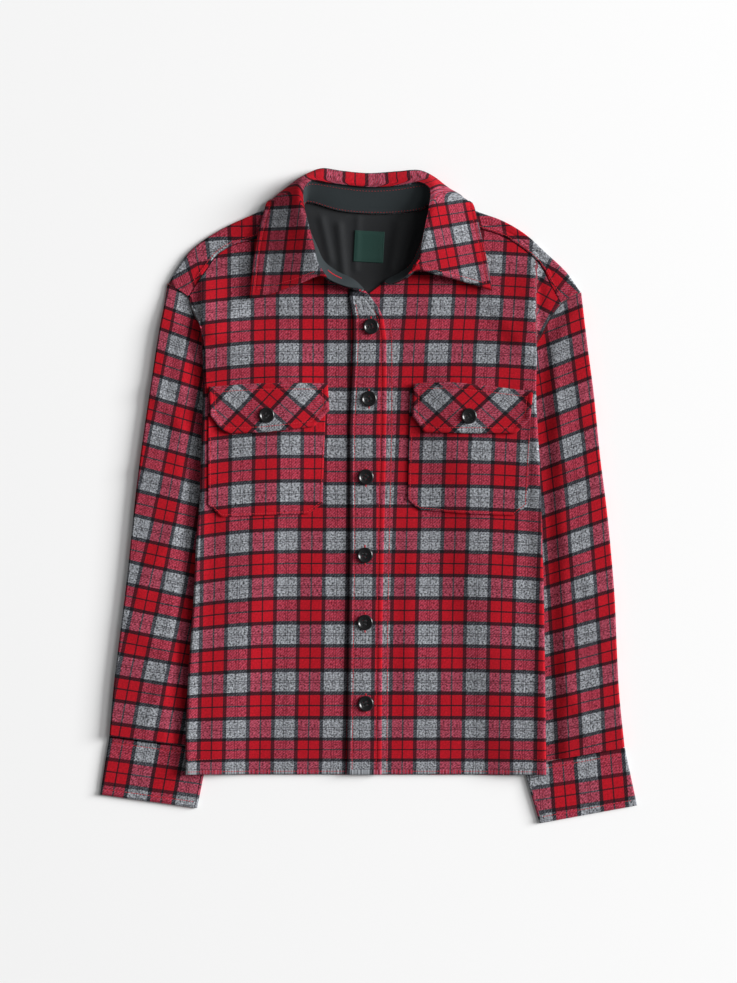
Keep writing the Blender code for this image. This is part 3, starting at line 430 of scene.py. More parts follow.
def body_folds(x, y):
    """The soft folds and the tucks, with d as the distance from a tuck's edge.

    A tuck adds height · exp(-(d / 1.6)²) where it drops, and height · exp(-(d / 20)²) behind its edge."""
    total = folds(x, y, BODY_FOLDS)
    for edge, low, high, height, drop in TUCKS:
        d = drop * (x - edge)
        fade = smooth_step((y - low) / 14.0) * smooth_step((high - y) / 10.0)
        total = total + height * fade * np.exp(-(d / np.where(d > 0, TUCK_DROP, TUCK_SWELL)) ** 2)
    return total


def side_roll(x, y):
    """The folded sides stand proud: roll height · exp(-(distance from its crest / roll width)²)."""
    total = np.zeros(np.shape(x))
    for side, sign in SIDES.items():
        line = np.array(SIDE_FOLD[side])[::-1]
        inside = np.interp(y, line[:, 1], sign * line[:, 0]) - ROLL_INSET - sign * x
        bell = ROLL_HEIGHT * np.exp(-(inside / ROLL_WIDTH) ** 2)
        total = total + bell * smooth_step((ROLL_END_Y - y) / ROLL_FADE)
    return total


def lie(x, y):
    """Height of the underside of the fronts and of what is sewn on them: ground, folds and side rolls."""
    return ground(x, y) + body_folds(x, y) + side_roll(x, y)


print("ground at the chest", round(float(ground(0.0, 0.0)), 2),
      "and over a sleeve", round(float(ground(-150.0, 0.0)), 2))

# %% [markdown]
# ## Cloth as a closed wall
# Every sewn piece here is a thin closed wall: a grid of points for the face, a second one behind it and a rim
# that joins them. The same grid carries the cloth's own map, in repeats of the check, so the pattern can turn
# with the piece as it was cut. A solid wall, unlike a single sheet, has a thickness of its own.

# %% Wall maker


def grid_normals(grid):
    """Unit normals of a grid of points: the cross product of its two directions."""
    normals = np.cross(np.gradient(grid, axis=0), np.gradient(grid, axis=1))
    return normals / np.maximum(np.linalg.norm(normals, axis=2), 1e-9)[:, :, None]


def wall_faces(rows, columns, around):
    """Quads of the face, the back and the rim as index rows, with the grid row and column of each corner."""
    i, j = np.meshgrid(np.arange(rows - 1), np.arange(columns - (not around)), indexing="ij")
    i, j = i.ravel(), j.ravel()
    face = np.stack([np.stack([i, i + 1, i + 1, i], 1), np.stack([j, j, j + 1, j + 1], 1)], 2)
    parts = [(face, 0), (face[:, ::-1], 1)]
    runs = [(0, np.s_[[0, 3]]), (rows - 2, np.s_[[2, 1]])]
    sides = [face[face[:, 0, 0] == row][:, order] for row, order in runs]
    if not around:
        sides += [face[face[:, 0, 1] == 0][:, [1, 0]], face[face[:, 0, 1] == columns - 2][:, [3, 2]]]
    quads = [corners for corners, _ in parts]
    layers = [np.full(corners.shape[:2], layer) for corners, layer in parts]
    for pair in sides:
        quads.append(np.concatenate([pair, pair[:, ::-1]], axis=1))
        layers.append(np.broadcast_to([0, 0, 1, 1], (len(pair), 4)))
    return np.concatenate(quads), np.concatenate(layers)


def cloth_wall(name, outer, inner, cloth, material, around=False):
    """A closed wall between two grids in millimetres, as a mesh in metres with the cloth's map on it.

    outer and inner are rows × columns × 3. cloth is rows × columns × 2, with one more column if the grid
    goes around and its last column joins its first. The quads are turned round if their volume, a sixth of
    the sum of a · (b × c), comes out negative."""
    rows, columns = outer.shape[:2]
    corners, layer = wall_faces(rows, columns, around)
    quads = corners[:, :, 0] * columns + corners[:, :, 1] % columns + layer * rows * columns
    marks = cloth[corners[:, :, 0], corners[:, :, 1]]
    points = np.vstack([outer.reshape(-1, 3), inner.reshape(-1, 3)]) * MM
    a, b, c, d = (points[quads[:, k]] for k in range(4))
    if np.einsum("ij,ij->", a, np.cross(b, c) + np.cross(c, d)) < 0:
        quads, marks = quads[:, ::-1], marks[:, ::-1]
    mesh = bpy.data.meshes.new(name)
    mesh.from_pydata(points.tolist(), [], quads.tolist())
    layer_uv = mesh.uv_layers.new(name="cloth")
    layer_uv.data.foreach_set("uv", np.ascontiguousarray(marks.reshape(-1), dtype=np.float32))
    mesh.materials.append(material)
    mesh.shade_smooth()
    mesh.set_sharp_from_angle(angle=math.radians(60))
    piece = bpy.data.objects.new(name, mesh)
    bpy.context.scene.collection.objects.link(piece)
    area = np.linalg.norm(np.cross(c - a, d - b), axis=1).sum() / 4
    print(name, rows, "x", columns, "points,", 2 * len(quads), "triangles, cloth of", round(area, 4), "m²")
    return piece


def dress(piece, node):
    """Hangs a piece of cloth under the root and hides the imported node that it stands for."""
    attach(piece, "root")
    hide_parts(node)
    return piece


def edge_form(distance, thickness, stitch=6.0, depth=0.45, plump=0.25):
    """How far a sewn edge stands from the flat face, by the distance from the edge.

    A quarter-round drop over the last 1.4 mm, a bell-shaped groove under the topstitching and a low swell
    between the two, where the turned-in cloth lies double."""
    drop = 1.0 - np.sqrt(1.0 - np.clip(1.0 - distance / 1.4, 0.0, 1.0) ** 2)
    groove = depth * np.exp(-((distance - stitch) / 1.1) ** 2)
    swell = plump * np.sin(np.pi * np.clip(distance / stitch, 0.0, 1.0))
    return -0.8 * thickness * drop - groove + swell


print("height of a flannel edge at 0, 1.4 and 6 mm", np.round(edge_form(np.array([0.0, 1.4, 6.0]), CLOTH), 2))

# %% [markdown]
# ## The check, thread by thread
# The cloth is a brushed twill woven from dyed yarns. Across and down it repeats a gray band with two dark
# hairlines, a black line, a red band, a thin black line, red again and black. About 96 threads make up a
# repeat of the real cloth. Here they are 64, and so thicker, which lets the twill show in a picture of the
# whole garment. Where a coloured warp crosses a weft of another colour, the 2/2 twill shows both in turn, and
# the eye mixes them. So the shader works out which thread is on top at each place. It lets only a share of
# the other yarn's colour through, as the brushed fibres of both lie over each other.

# %% Node helpers
ENDS = 64
HALF = ENDS // 2
GRAY = (0.225, 0.236, 0.255, 1.0)
GRAY_HAIR = (0.060, 0.062, 0.070, 1.0)
BLACK = (0.0055, 0.0060, 0.0082, 1.0)
RED = (0.395, 0.0035, 0.0120, 1.0)
# Share of its own thread that a lifted warp shows, as the fuller weft swells in from both sides
WARP_SHARE = 0.66
# Share of the other yarn's colour in the one on top, as brushed fibres lie over both
MINGLING = 0.32
# Sett from the middle of the gray band to the middle of the red: first thread, colour
SETT = [(0, GRAY), (1, GRAY_HAIR), (2, GRAY), (13, BLACK), (18, RED), (31, BLACK)]
print("threads in a repeat", ENDS, "and stripes in half of it", len(SETT))


def link(tree, source, target):
    """Joins an output socket to an input socket."""
    tree.links.new(source, target)


def math_node(tree, operation, first, second=None, third=None):
    """A Math node whose inputs are sockets or numbers, and its output."""
    node = tree.nodes.new("ShaderNodeMath")
    node.operation = operation
    for k, value in enumerate((first, second, third)):
        if value is None:
            continue
        if isinstance(value, (int, float)):
            node.inputs[k].default_value = value
        else:
            link(tree, value, node.inputs[k])
    return node.outputs[0]


def mix_colours(tree, factor, first, second, blend="MIX"):
    """A colour Mix node whose inputs are sockets, numbers or colours, and its output."""
    node = tree.nodes.new("ShaderNodeMix")
    node.data_type = "RGBA"
    node.blend_type = blend
    for socket, value in ((node.inputs[0], factor), (node.inputs[6], first), (node.inputs[7], second)):
        if isinstance(value, (int, float, tuple)):
            socket.default_value = value
        else:
            link(tree, value, socket)
    return node.outputs[2]


def shaded(tree, colour, shade):
    """A colour times a value, and its output."""
    tone = tree.nodes.new("ShaderNodeCombineColor")
    for socket in tone.inputs[:3]:
        link(tree, shade, socket)
    return mix_colours(tree, 1.0, colour, tone.outputs[0], "MULTIPLY")


def noise(tree, vector, scale, detail=2.0, roughness=0.5):
    """A Noise Texture on a vector, and its value."""
    node = tree.nodes.new("ShaderNodeTexNoise")
    node.inputs["Scale"].default_value = scale
    node.inputs["Detail"].default_value = detail
    node.inputs["Roughness"].default_value = roughness
    link(tree, vector, node.inputs["Vector"])
    return node.outputs["Fac"]


def new_group(name, inputs, outputs):
    """A shader node group with named inputs and outputs, and its input and output nodes."""
    group = bpy.data.node_groups.new(name, "ShaderNodeTree")
    for title, kind, value in inputs:
        socket = group.interface.new_socket(name=title, in_out="INPUT", socket_type=kind)
        if value is not None:
            socket.default_value = value
    for title, kind in outputs:
        group.interface.new_socket(name=title, in_out="OUTPUT", socket_type=kind)
    return group, group.nodes.new("NodeGroupInput"), group.nodes.new("NodeGroupOutput")


def threads(tree, ends, dye_table):
    """Colour of each thread: a constant ramp over the distance of the thread from the middle of the gray."""
    middle = math_node(tree, "ADD", math_node(tree, "FLOOR", ends), 0.5)
    place = math_node(tree, "DIVIDE", math_node(tree, "PINGPONG", middle, float(HALF)), float(HALF))
    ramp = tree.nodes.new("ShaderNodeValToRGB")
    ramp.color_ramp.interpolation = "CONSTANT"
    ramp.color_ramp.elements[0].color = dye_table[0][1]
    ramp.color_ramp.elements.remove(ramp.color_ramp.elements[1])
    for first, dye in dye_table[1:]:
        ramp.color_ramp.elements.new(first / HALF).color = dye
    link(tree, place, ramp.inputs[0])
    return ramp.outputs["Color"]


# %% Group: the woven check


def melange(tree, thread, run, colour, amount):
    """Flecks of a carded yarn: noise that is a little longer along the yarn than across it.

    The strength is amount · (0.25 + 4 · green), so the gray yarn is flecked, and the dyed ones hardly."""
    place = tree.nodes.new("ShaderNodeCombineXYZ")
    link(tree, math_node(tree, "MULTIPLY", thread, 0.48), place.inputs[0])
    link(tree, math_node(tree, "MULTIPLY", run, 0.34), place.inputs[1])
    fleck = noise(tree, place.outputs[0], 1.0, 1.0, 0.5)
    dye = tree.nodes.new("ShaderNodeSeparateColor")
    link(tree, colour, dye.inputs[0])
    strength = math_node(tree, "MULTIPLY", math_node(tree, "MULTIPLY_ADD", dye.outputs[1], 4.0, 0.25), amount)
    shade = math_node(tree, "MULTIPLY_ADD", math_node(tree, "SUBTRACT", fleck, 0.48), strength, 1.0)
    return shaded(tree, colour, math_node(tree, "MAXIMUM", shade, 0.06))


def mingled(tree, top, below, share):
    """The yarn on top under fibres of the other: top ** (1 - share) · below ** share, channel by channel."""
    tops = tree.nodes.new("ShaderNodeSeparateColor")
    belows = tree.nodes.new("ShaderNodeSeparateColor")
    seen = tree.nodes.new("ShaderNodeCombineColor")
    link(tree, top, tops.inputs[0])
    link(tree, below, belows.inputs[0])
    for k in range(3):
        over = math_node(tree, "POWER", tops.outputs[k], 1.0 - share)
        under = math_node(tree, "POWER", belows.outputs[k], share)
        link(tree, math_node(tree, "MULTIPLY", over, under), seen.inputs[k])
    return seen.outputs[0]


def off_middle(tree, thread):
    """How far a place lies from the middle of its thread: |fraction - 0.5|."""
    return math_node(tree, "ABSOLUTE", math_node(tree, "SUBTRACT", math_node(tree, "FRACT", thread), 0.5))


def make_check_group():
    """Cloth coordinates in repeats to the colour and height of a 2/2 twill.

    ends = 64 · coordinate. The warp is on top where (warp thread - weft thread) mod 4 is below 2, and within
    the middle of its own thread, because the weft is the fuller yarn. The height of each thread is a half
    sine across it."""
    group, start, end = new_group(
        "woven_check",
        [("Cloth", "NodeSocketVector", None), ("Fleck", "NodeSocketFloat", 1.6)],
        [("Colour", "NodeSocketColor"), ("Height", "NodeSocketFloat")])
    split = group.nodes.new("ShaderNodeSeparateXYZ")
    link(group, start.outputs["Cloth"], split.inputs[0])
    warp = math_node(group, "MULTIPLY", split.outputs[0], float(ENDS))
    weft = math_node(group, "MULTIPLY", split.outputs[1], float(ENDS))
    step = math_node(group, "SUBTRACT", math_node(group, "FLOOR", warp), math_node(group, "FLOOR", weft))
    wale = math_node(group, "FLOORED_MODULO", step, 4.0)
    lifted = math_node(group, "LESS_THAN", wale, 1.5)
    across_warp = off_middle(group, warp)
    across_weft = off_middle(group, weft)
    body = math_node(group, "LESS_THAN", across_warp, WARP_SHARE / 2)
    on_top = math_node(group, "MULTIPLY", lifted, body)
    warp_colour = melange(group, warp, weft, threads(group, warp, SETT), start.outputs["Fleck"])
    weft_colour = melange(group, weft, warp, threads(group, weft, SETT), start.outputs["Fleck"])
    seen_warp = mingled(group, warp_colour, weft_colour, MINGLING)
    seen_weft = mingled(group, weft_colour, warp_colour, MINGLING)
    link(group, mix_colours(group, on_top, seen_weft, seen_warp), end.inputs["Colour"])
    warp_height = math_node(group, "COSINE", math_node(group, "MULTIPLY", across_warp, math.pi))
    weft_height = math_node(group, "COSINE", math_node(group, "MULTIPLY", across_weft, math.pi))
    mixed = group.nodes.new("ShaderNodeMix")
    link(group, on_top, mixed.inputs[0])
    link(group, weft_height, mixed.inputs[2])
    link(group, warp_height, mixed.inputs[3])
    link(group, mixed.outputs[0], end.inputs["Height"])
    return group


check_group = make_check_group()
print("group", check_group.name, len(check_group.nodes), "nodes")

# %% [markdown]
# The brushed face has a nap: loose fibre ends that blur the threads and catch a little light. It is a second
# group, on Object coordinates in metres, which lifts the colour towards a pale fibre in small tufts and
# adds a fine uneven height over the weave.

# %% Group: the brushed nap


def make_nap_group():
    """Fine tufts (about 0.7 mm) and wide cloudy shade (about 60 mm) over any cloth colour."""
    group, start, end = new_group(
        "brushed_nap",
        [("Colour", "NodeSocketColor", None), ("Place", "NodeSocketVector", None),
         ("Fibre", "NodeSocketColor", (0.42, 0.36, 0.38, 1.0)), ("Amount", "NodeSocketFloat", 0.012),
         ("Weave", "NodeSocketFloat", 0.0)],
        [("Colour", "NodeSocketColor"), ("Height", "NodeSocketFloat")])
    tufts = noise(group, start.outputs["Place"], 1400.0, 3.0, 0.7)
    cloud = noise(group, start.outputs["Place"], 16.0, 2.0, 0.5)
    lift = math_node(group, "MULTIPLY", math_node(group, "POWER", tufts, 2.0),
                     math_node(group, "MULTIPLY", start.outputs["Amount"], 4.0))
    fuzzy = mix_colours(group, lift, start.outputs["Colour"], start.outputs["Fibre"])
    shade = math_node(group, "MULTIPLY_ADD", math_node(group, "SUBTRACT", cloud, 0.5), 0.22, 1.0)
    link(group, shaded(group, fuzzy, shade), end.inputs["Colour"])
    height = math_node(group, "MULTIPLY_ADD", tufts, 0.8, start.outputs["Weave"])
    link(group, height, end.inputs["Height"])
    return group


nap_group = make_nap_group()
print("group", nap_group.name, len(nap_group.nodes), "nodes")

# %% Flannel


def new_material(name, roughness, sheen=0.0, specular=0.3):
    """A material with its Principled shader, whose even values are set on its own sockets."""
    material = bpy.data.materials.new(name)
    material.use_nodes = True
    shader = material.node_tree.nodes["Principled BSDF"]
    shader.inputs["Roughness"].default_value = roughness
    shader.inputs["Sheen Weight"].default_value = sheen
    shader.inputs["Sheen Roughness"].default_value = 0.5
    shader.inputs["Specular IOR Level"].default_value = specular
    return material, material.node_tree, shader


def placed(tree, group, **values):
    """A group node in a tree with its own values."""
    node = tree.nodes.new("ShaderNodeGroup")
    node.node_tree = group
    for title, value in values.items():
        node.inputs[title].default_value = value
    return node


def bump(tree, shader, height, strength, distance):
    """A Bump node from a height to the shader's normal, with its distance in metres."""
    node = tree.nodes.new("ShaderNodeBump")
    node.inputs["Strength"].default_value = strength
    node.inputs["Distance"].default_value = distance
    link(tree, height, node.inputs["Height"])
    link(tree, node.outputs["Normal"], shader.inputs["Normal"])


def flannel(name, amount=0.012):
    """The brushed check: the woven group on the cloth's own map, under the nap group."""
    material, tree, shader = new_material(name, 0.94, 0.03, 0.06)
    cloth = tree.nodes.new("ShaderNodeUVMap")
    cloth.uv_map = "cloth"
    place = tree.nodes.new("ShaderNodeTexCoord")
    weave = placed(tree, check_group, Fleck=5.0)
    nap = placed(tree, nap_group, Amount=amount)
    link(tree, cloth.outputs["UV"], weave.inputs["Cloth"])
    link(tree, weave.outputs["Colour"], nap.inputs["Colour"])
    link(tree, weave.outputs["Height"], nap.inputs["Weave"])
    link(tree, place.outputs["Object"], nap.inputs["Place"])
    link(tree, nap.outputs["Colour"], shader.inputs["Base Color"])
    bump(tree, shader, nap.outputs["Height"], 0.8, 0.00025)
    return material


check_flannel = flannel("check_flannel")
print("material", check_flannel.name)

# %% [markdown]
# ## Where the check lies on each piece
# A check tells how a piece was cut. On each front the gray columns lean a little and the rows sag towards the
# side, and the flaps are cut on the bias. So each piece has its own small map from place to repeats, told by
# where the middle of a gray column or row lies.

# %% Maps of the body
REPEAT_X = 55.5
REPEAT_Y = 54.6
# Heights of the middle of the gray rows on the fronts, from the hem up
GRAY_ROWS = [-314.0, -266.8, -212.7, -158.5, -103.7, -50.9, 1.5, 55.5, 109.6, 164.4, 218.2, 268.0, 321.0]
# A gray column on each front: height y, x
GRAY_COLUMN = {
    "right": [(-330.0, -97.8), (-309.0, -97.3), (-119.0, -93.8), (50.0, -91.9), (220.0, -91.2),
              (360.0, -91.2)],
    "left": [(-330.0, 66.0), (-311.0, 66.2), (-119.0, 69.1), (-50.0, 71.2), (60.0, 75.0), (168.0, 79.8),
             (220.0, 83.7), (360.0, 92.0)],
}
# How far the rows have sagged at the side of each front, and where the sag begins and how long it grows,
# across the front and up it
SAG = {"right": 8.5, "left": 4.5}
SAG_START_X = 90.0
SAG_WIDTH = 105.0
SAG_START_Y = -330.0
SAG_RISE = 260.0
# The cloth past the fold at the left armhole: where it begins, its turn, and a crossing of two red middles
TURNED_FROM = (192.3, 172.0)
TURNED_BY = math.radians(29.0)
TURNED_CROSSING = (546.3, 297.2)
# Millimetres to a pixel of the photograph, and the pixel that lies over the origin
PIXEL = 1.15
ORIGIN_PX = 368.6
ORIGIN_PY = 496.3


def spot(px, py):
    """The place on the table, in millimetres, of a spot in the photograph."""
    return ((px - ORIGIN_PX) * PIXEL, (ORIGIN_PY - py) * PIXEL)


def step_between(first, second):
    """The plan step in millimetres between two spots in the photograph."""
    return np.subtract(spot(*second), spot(*first))


def plan_steps(*steps):
    """Steps in the photograph, right and down in pixels, as plan steps in millimetres."""
    return [np.array([dx, -dy]) * PIXEL for dx, dy in steps]


def smooth_table(table, y):
    """Value of a two-column table at y, on the rounded curve through its rows."""
    fine = blend_rows(table, 200)
    return np.interp(y, fine[:, 0], fine[:, 1])


def row_number(y):
    """Repeats up the cloth at a height, by the curve through the gray rows."""
    numbers = np.arange(len(GRAY_ROWS), dtype=float)
    return smooth_table(np.column_stack([GRAY_ROWS, numbers]), y)


def front_map(side, x, y, moved=(0.0, 0.0)):
    """u grows by one each 55.5 mm from the gray column, v by the rows, which sag to the side as out²."""
    sign = SIDES[side]
    column = smooth_table(GRAY_COLUMN[side], y)
    out = np.clip((sign * x - SAG_START_X) / SAG_WIDTH, 0.0, 2.0)
    sag = SAG[side] * smooth_step((y - SAG_START_Y) / SAG_RISE) * out ** 2
    u = (x - column + moved[0]) / REPEAT_X
    return np.dstack([u, row_number(y + sag + moved[1])])


def lattice_map(x, y, crossing, across, down):
    """Repeats from a gray crossing, where one repeat is the step across, and the other the step down."""
    steps = np.linalg.inv(np.column_stack([across, down]))
    dx, dy = x - crossing[0], y - crossing[1]
    return np.dstack([steps[0, 0] * dx + steps[0, 1] * dy, -steps[1, 0] * dx - steps[1, 1] * dy])


def turned_map(side, x, y):
    """The front's map, and past the fold at the left armhole the same check turned by 29 degrees.

    That part is told from a red crossing, which lies half a repeat from the gray one."""
    cloth = front_map(side, x, y)
    if side == "right":
        return cloth
    across = np.array([math.cos(TURNED_BY), -math.sin(TURNED_BY)]) * REPEAT_X
    down = np.array([-math.sin(TURNED_BY), -math.cos(TURNED_BY)]) * REPEAT_Y
    turned = lattice_map(x, y, spot(*TURNED_CROSSING), across, down) + 0.5
    past_fold = (x > TURNED_FROM[0]) & (y > TURNED_FROM[1])
    return np.where(past_fold[:, :, None], turned, cloth)


print("rows at the hem and the chest", float(row_number(HEM_Y)), float(row_number(100.0)))

# %% [markdown]
# ## The fronts
# Each front is one panel: flat on top, turned over the side fold and under to the side seam. Its plan is a
# Coons patch, which fills four boundary curves: the hem, the neck and yoke seam, the centre and the side.
# The turned part goes on from the side line by arc length, first round a half circle and then flat.

# %% Front panels


def patch(bottom, top, left, right, u, v):
    """Coons patch: the blend of opposite sides, added up, less the blend of the four corners."""
    u, v = u[None, :, None], v[:, None, None]
    bottom, top = bottom[None], top[None]
    left, right = left[:, None], right[:, None]
    corners = ((1 - u) * (1 - v) * bottom[:, :1] + u * (1 - v) * bottom[:, -1:]
               + (1 - u) * v * top[:, :1] + u * v * top[:, -1:])
    return (1 - v) * bottom + v * top + (1 - u) * left + u * right - corners


def yoke_table(side):
    """The stations of the yoke on one shoulder."""
    return RIGHT_YOKE if side == "right" else LEFT_YOKE


def side_line(side, steps):
    """Where the top of a front ends: down the armhole seam and the side fold, from the yoke to the hem."""
    sign = SIDES[side]
    yoke_end = yoke_table(side)[0][3:5]
    seam = [point for point in ARMHOLE[side][:6] if point[1] < yoke_end[1] - 3.0]
    start = (yoke_end[0] + GAP * sign, yoke_end[1] - 2.4)
    return along(moved_aside(along([start] + seam + SIDE_FOLD[side], 80), -sign * (FOLD_RADIUS + GAP)),
                 1.0 - shares(steps), rounded=False)


def fold_tails(side, line):
    """How far the cloth goes on past the side line: a seam's width at the armhole, a full margin below it."""
    top = ARMHOLE[side][5][1] - 6.0
    reach = smooth_step((top - line[:, 1]) / (top - FULL_MARGIN_Y))
    tail = np.where(reach > 0, math.pi * FOLD_RADIUS * np.minimum(1.0, reach * 6.0), 0.0)
    return np.maximum(tail, 2.2) + FOLD_MARGIN * np.clip((reach - 0.15) / 0.85, 0.0, 1.0)


def fold_outward(side, edge):
    """Unit plan directions out of the body along its side line, which runs up from the hem."""
    way = np.gradient(edge, axis=0)
    way /= np.linalg.norm(way, axis=1)[:, None]
    return SIDES[side] * np.column_stack([way[:, 1], -way[:, 0]])


# Length of each front in millimetres, by which the hem's rows are shared out, and the columns and rows of its
# grid
FRONT_LENGTH = 560.0
FRONT_COLUMNS = 76
FRONT_ROWS = 190
# Height of the hem's stitches over its edge, and the rows of points up to just past them
HEM_STITCH = 17.0
HEM_STEPS = (0.0, 0.4, 1.0, 2.0, 3.4, 5.0, 8.0, 11.0, 14.0, 15.6, 17.2, 18.8, 21.0)


def front_plan(side, columns, rows):
    """Plan grid of a front's top face, and its side line."""
    sign = SIDES[side]
    edge = side_line(side, rows)
    stand = RIGHT_STAND if side == "right" else LEFT_STAND
    neck = moved_aside(along([row[:2] for row in stand[:6]], 60), -0.6 * sign)
    if side == "right":
        meet_y = np.interp(-FRONT_MEET_X, -neck[:, 0], neck[:, 1])
        neck = np.vstack([[FRONT_MEET_X, meet_y], neck[neck[:, 0] < FRONT_MEET_X]])
    else:
        neck = np.vstack([[FRONT_MEET_X + GAP, 226.0], [1.4, 233.2], neck])
    seam = moved_aside(along([row[3:5] for row in yoke_table(side)[7::-1]], 60), -SEAM_GAP * sign)
    top = along(np.vstack([along(neck, 40, False)[:-1], neck[-1:], seam[1:], edge[-1:]]), columns, False)
    centre = np.column_stack([np.full(len(rows), top[0, 0]), HEM_Y + (top[0, 1] - HEM_Y) * rows])
    hem = along([(top[0, 0], HEM_Y), tuple(edge[0])], columns, False)
    return patch(hem, top, centre, edge, columns, rows), edge


def build_front(side):
    """A front: the plan laid at its level, then the fold, by arc length s: sin and 1 + cos of s / radius."""
    hem_rows = np.asarray(HEM_STEPS) / FRONT_LENGTH
    rows = np.unique(np.r_[hem_rows, np.linspace(hem_rows[-1], 1.0, FRONT_ROWS)])
    plan, edge = front_plan(side, np.linspace(0.0, 1.0, FRONT_COLUMNS), rows)
    x, y = plan[:, :, 0], plan[:, :, 1]
    tails = fold_tails(side, edge)
    outward = fold_outward(side, edge)
    turn = math.pi * FOLD_RADIUS
    s = np.r_[np.linspace(0.08, 1.0, 12), np.linspace(1.1, 2.0, 10)][None, :]
    run = np.where(s <= 1.0, np.minimum(tails, turn)[:, None] * s,
                   np.minimum(tails, turn)[:, None] + np.maximum(tails - turn, 0.0)[:, None] * (s - 1.0))
    angle = np.minimum(run, turn) / FOLD_RADIUS
    away = FOLD_RADIUS * np.sin(angle) - np.maximum(run - turn, 0.0)
    fx = edge[:, :1] + outward[:, :1] * away
    fy = edge[:, 1:] + outward[:, 1:] * away
    under = (1.0 + np.cos(angle)) / 2.0
    lift = ground(fx, fy) + (body_folds(fx, fy) + side_roll(fx, fy)) * under
    hem_form = edge_form(y - HEM_Y, CLOTH, HEM_STITCH, 0.5, 0.3)
    face = np.dstack([x, y, lie(x, y) + FRONT_TOP + hem_form])
    fold = np.dstack([fx, fy, lift + FOLD_RADIUS * (1.0 + np.cos(angle))])
    fold[:, :, 2] += hem_form[:, -1:] * under
    flat_x = edge[:, :1] + outward[:, :1] * run
    flat_y = edge[:, 1:] + outward[:, 1:] * run
    outer = np.concatenate([face, fold], axis=1)
    cloth = np.concatenate([turned_map(side, x, y), turned_map(side, flat_x, flat_y)], axis=1)
    normals = grid_normals(outer)
    normals *= np.sign(normals[:, :10, 2].mean())
    return cloth_wall("front_panel_" + side, outer, outer - CLOTH * normals, cloth, check_flannel)


for side in SIDES:
    dress(build_front(side), "front_" + side)

# %% [markdown]
# ## Band, pockets and flaps
# The button band, the patch pockets and their flaps are flat pieces sewn on the fronts. Each is a strip
# between a bottom line and a top line, laid at its own level over the same ground. Its edges are turned in
# and topstitched, which shows as a rounded rim, a shallow groove under the stitches and a low swell between.

# %% Strips


def strip_plan(table, columns, rows):
    """Plan grid between two lines: (1 - w) · bottom + w · top, with the table's corners kept."""
    table = np.asarray(table, float)
    widths = np.abs(np.diff((table[:, 0] + table[:, 2]) / 2.0))
    corner_shares = np.r_[0.0, np.cumsum(widths)] / widths.sum()
    places = np.unique(np.round(np.r_[columns, corner_shares], 5))
    line = np.column_stack([np.interp(places, corner_shares, table[:, k]) for k in range(4)])
    w = rows[None, :, None]
    return line[:, None, 2:] * (1 - w) + line[:, None, :2] * w


def strip_outline(table):
    """Closed outline of a strip: its bottom line and its top line back."""
    table = np.asarray(table, float)
    return np.vstack([table[:, 2:], table[::-1, :2], table[:1, 2:]])


def flat_wall(name, plan, level, thickness, form, cloth, material):
    """A wall laid over the body: its face at lie + level + form, its back one thickness below the level."""
    x, y = plan[:, :, 0], plan[:, :, 1]
    height = lie(x, y) + level
    outer = np.dstack([x, y, height + form])
    inner = np.dstack([x, y, height - thickness])
    return cloth_wall(name, outer, inner, cloth, material)


print("corners of a pocket and a flap", 2 * len(POCKET["right"]), 2 * len(FLAP["right"]))

# %% Patch pockets
POCKET_INSET = 2.6
POCKET_SHIFT = {"right": (-2.4, -3.2), "left": (1.0, 2.6)}

for side in SIDES:
    plan = strip_plan(POCKET[side], edge_steps(136.0, 2.4), edge_steps(144.0, 2.4))
    x, y = plan[:, :, 0], plan[:, :, 1]
    form = edge_form(line_distance(x, y, strip_outline(POCKET[side])), CLOTH, POCKET_INSET, 0.3, 0.1)
    cloth = front_map(side, x, y, POCKET_SHIFT[side])
    pocket = flat_wall("pocket_patch_" + side, plan, POCKET_TOP, CLOTH, form, cloth, check_flannel)
    dress(pocket, "pocket_" + side)

# %% Pocket flaps, cut on the bias
# How far the lower edge of a flap stands off the pocket, and over what width
FLAP_LIFT = 1.4
FLAP_LIFT_WIDTH = 16.0
FLAP_INSET = 6.5
# A gray crossing on each flap, and the crossings one repeat up to the left and up to the right of it
FLAP_CROSSINGS = {
    "right": ((271.5, 426.7), (303.0, 393.0), (237.0, 397.0)),
    "left": ((470.6, 430.0), (504.4, 398.8), (436.4, 398.8)),
}

for side in SIDES:
    plan = strip_plan(FLAP[side], edge_steps(137.0, 2.0), edge_steps(54.0, 2.0))
    x, y = plan[:, :, 0], plan[:, :, 1]
    form = edge_form(line_distance(x, y, strip_outline(FLAP[side])), DOUBLE, FLAP_INSET, 0.5, 0.35)
    lower_edge = along(np.asarray(FLAP[side])[:, 2:], 60, False)
    stand_off = FLAP_LIFT * smooth_step(1.0 - line_distance(x, y, lower_edge) / FLAP_LIFT_WIDTH)
    low, one, other = FLAP_CROSSINGS[side]
    cloth = lattice_map(x, y, spot(*low), step_between(low, one), step_between(low, other))
    flap = flat_wall("pocket_flap_" + side, plan, FLAP_TOP + stand_off, DOUBLE, form, cloth, check_flannel)
    dress(flap, "flap_" + side)

# %% Button band
BAND_BOTTOM = HEM_Y - 0.6
BAND_LENGTH = 555.6
BAND_INSET = 6.2
# The middle of the gray column on the band, from its left edge
BAND_COLUMN = 15.6
# The slant of the band's top end: how much higher its left corner is, where it begins, and its length
BAND_SLANT = 8.0
BAND_SLANT_Y = 225.7
BAND_SLANT_LENGTH = 9.7

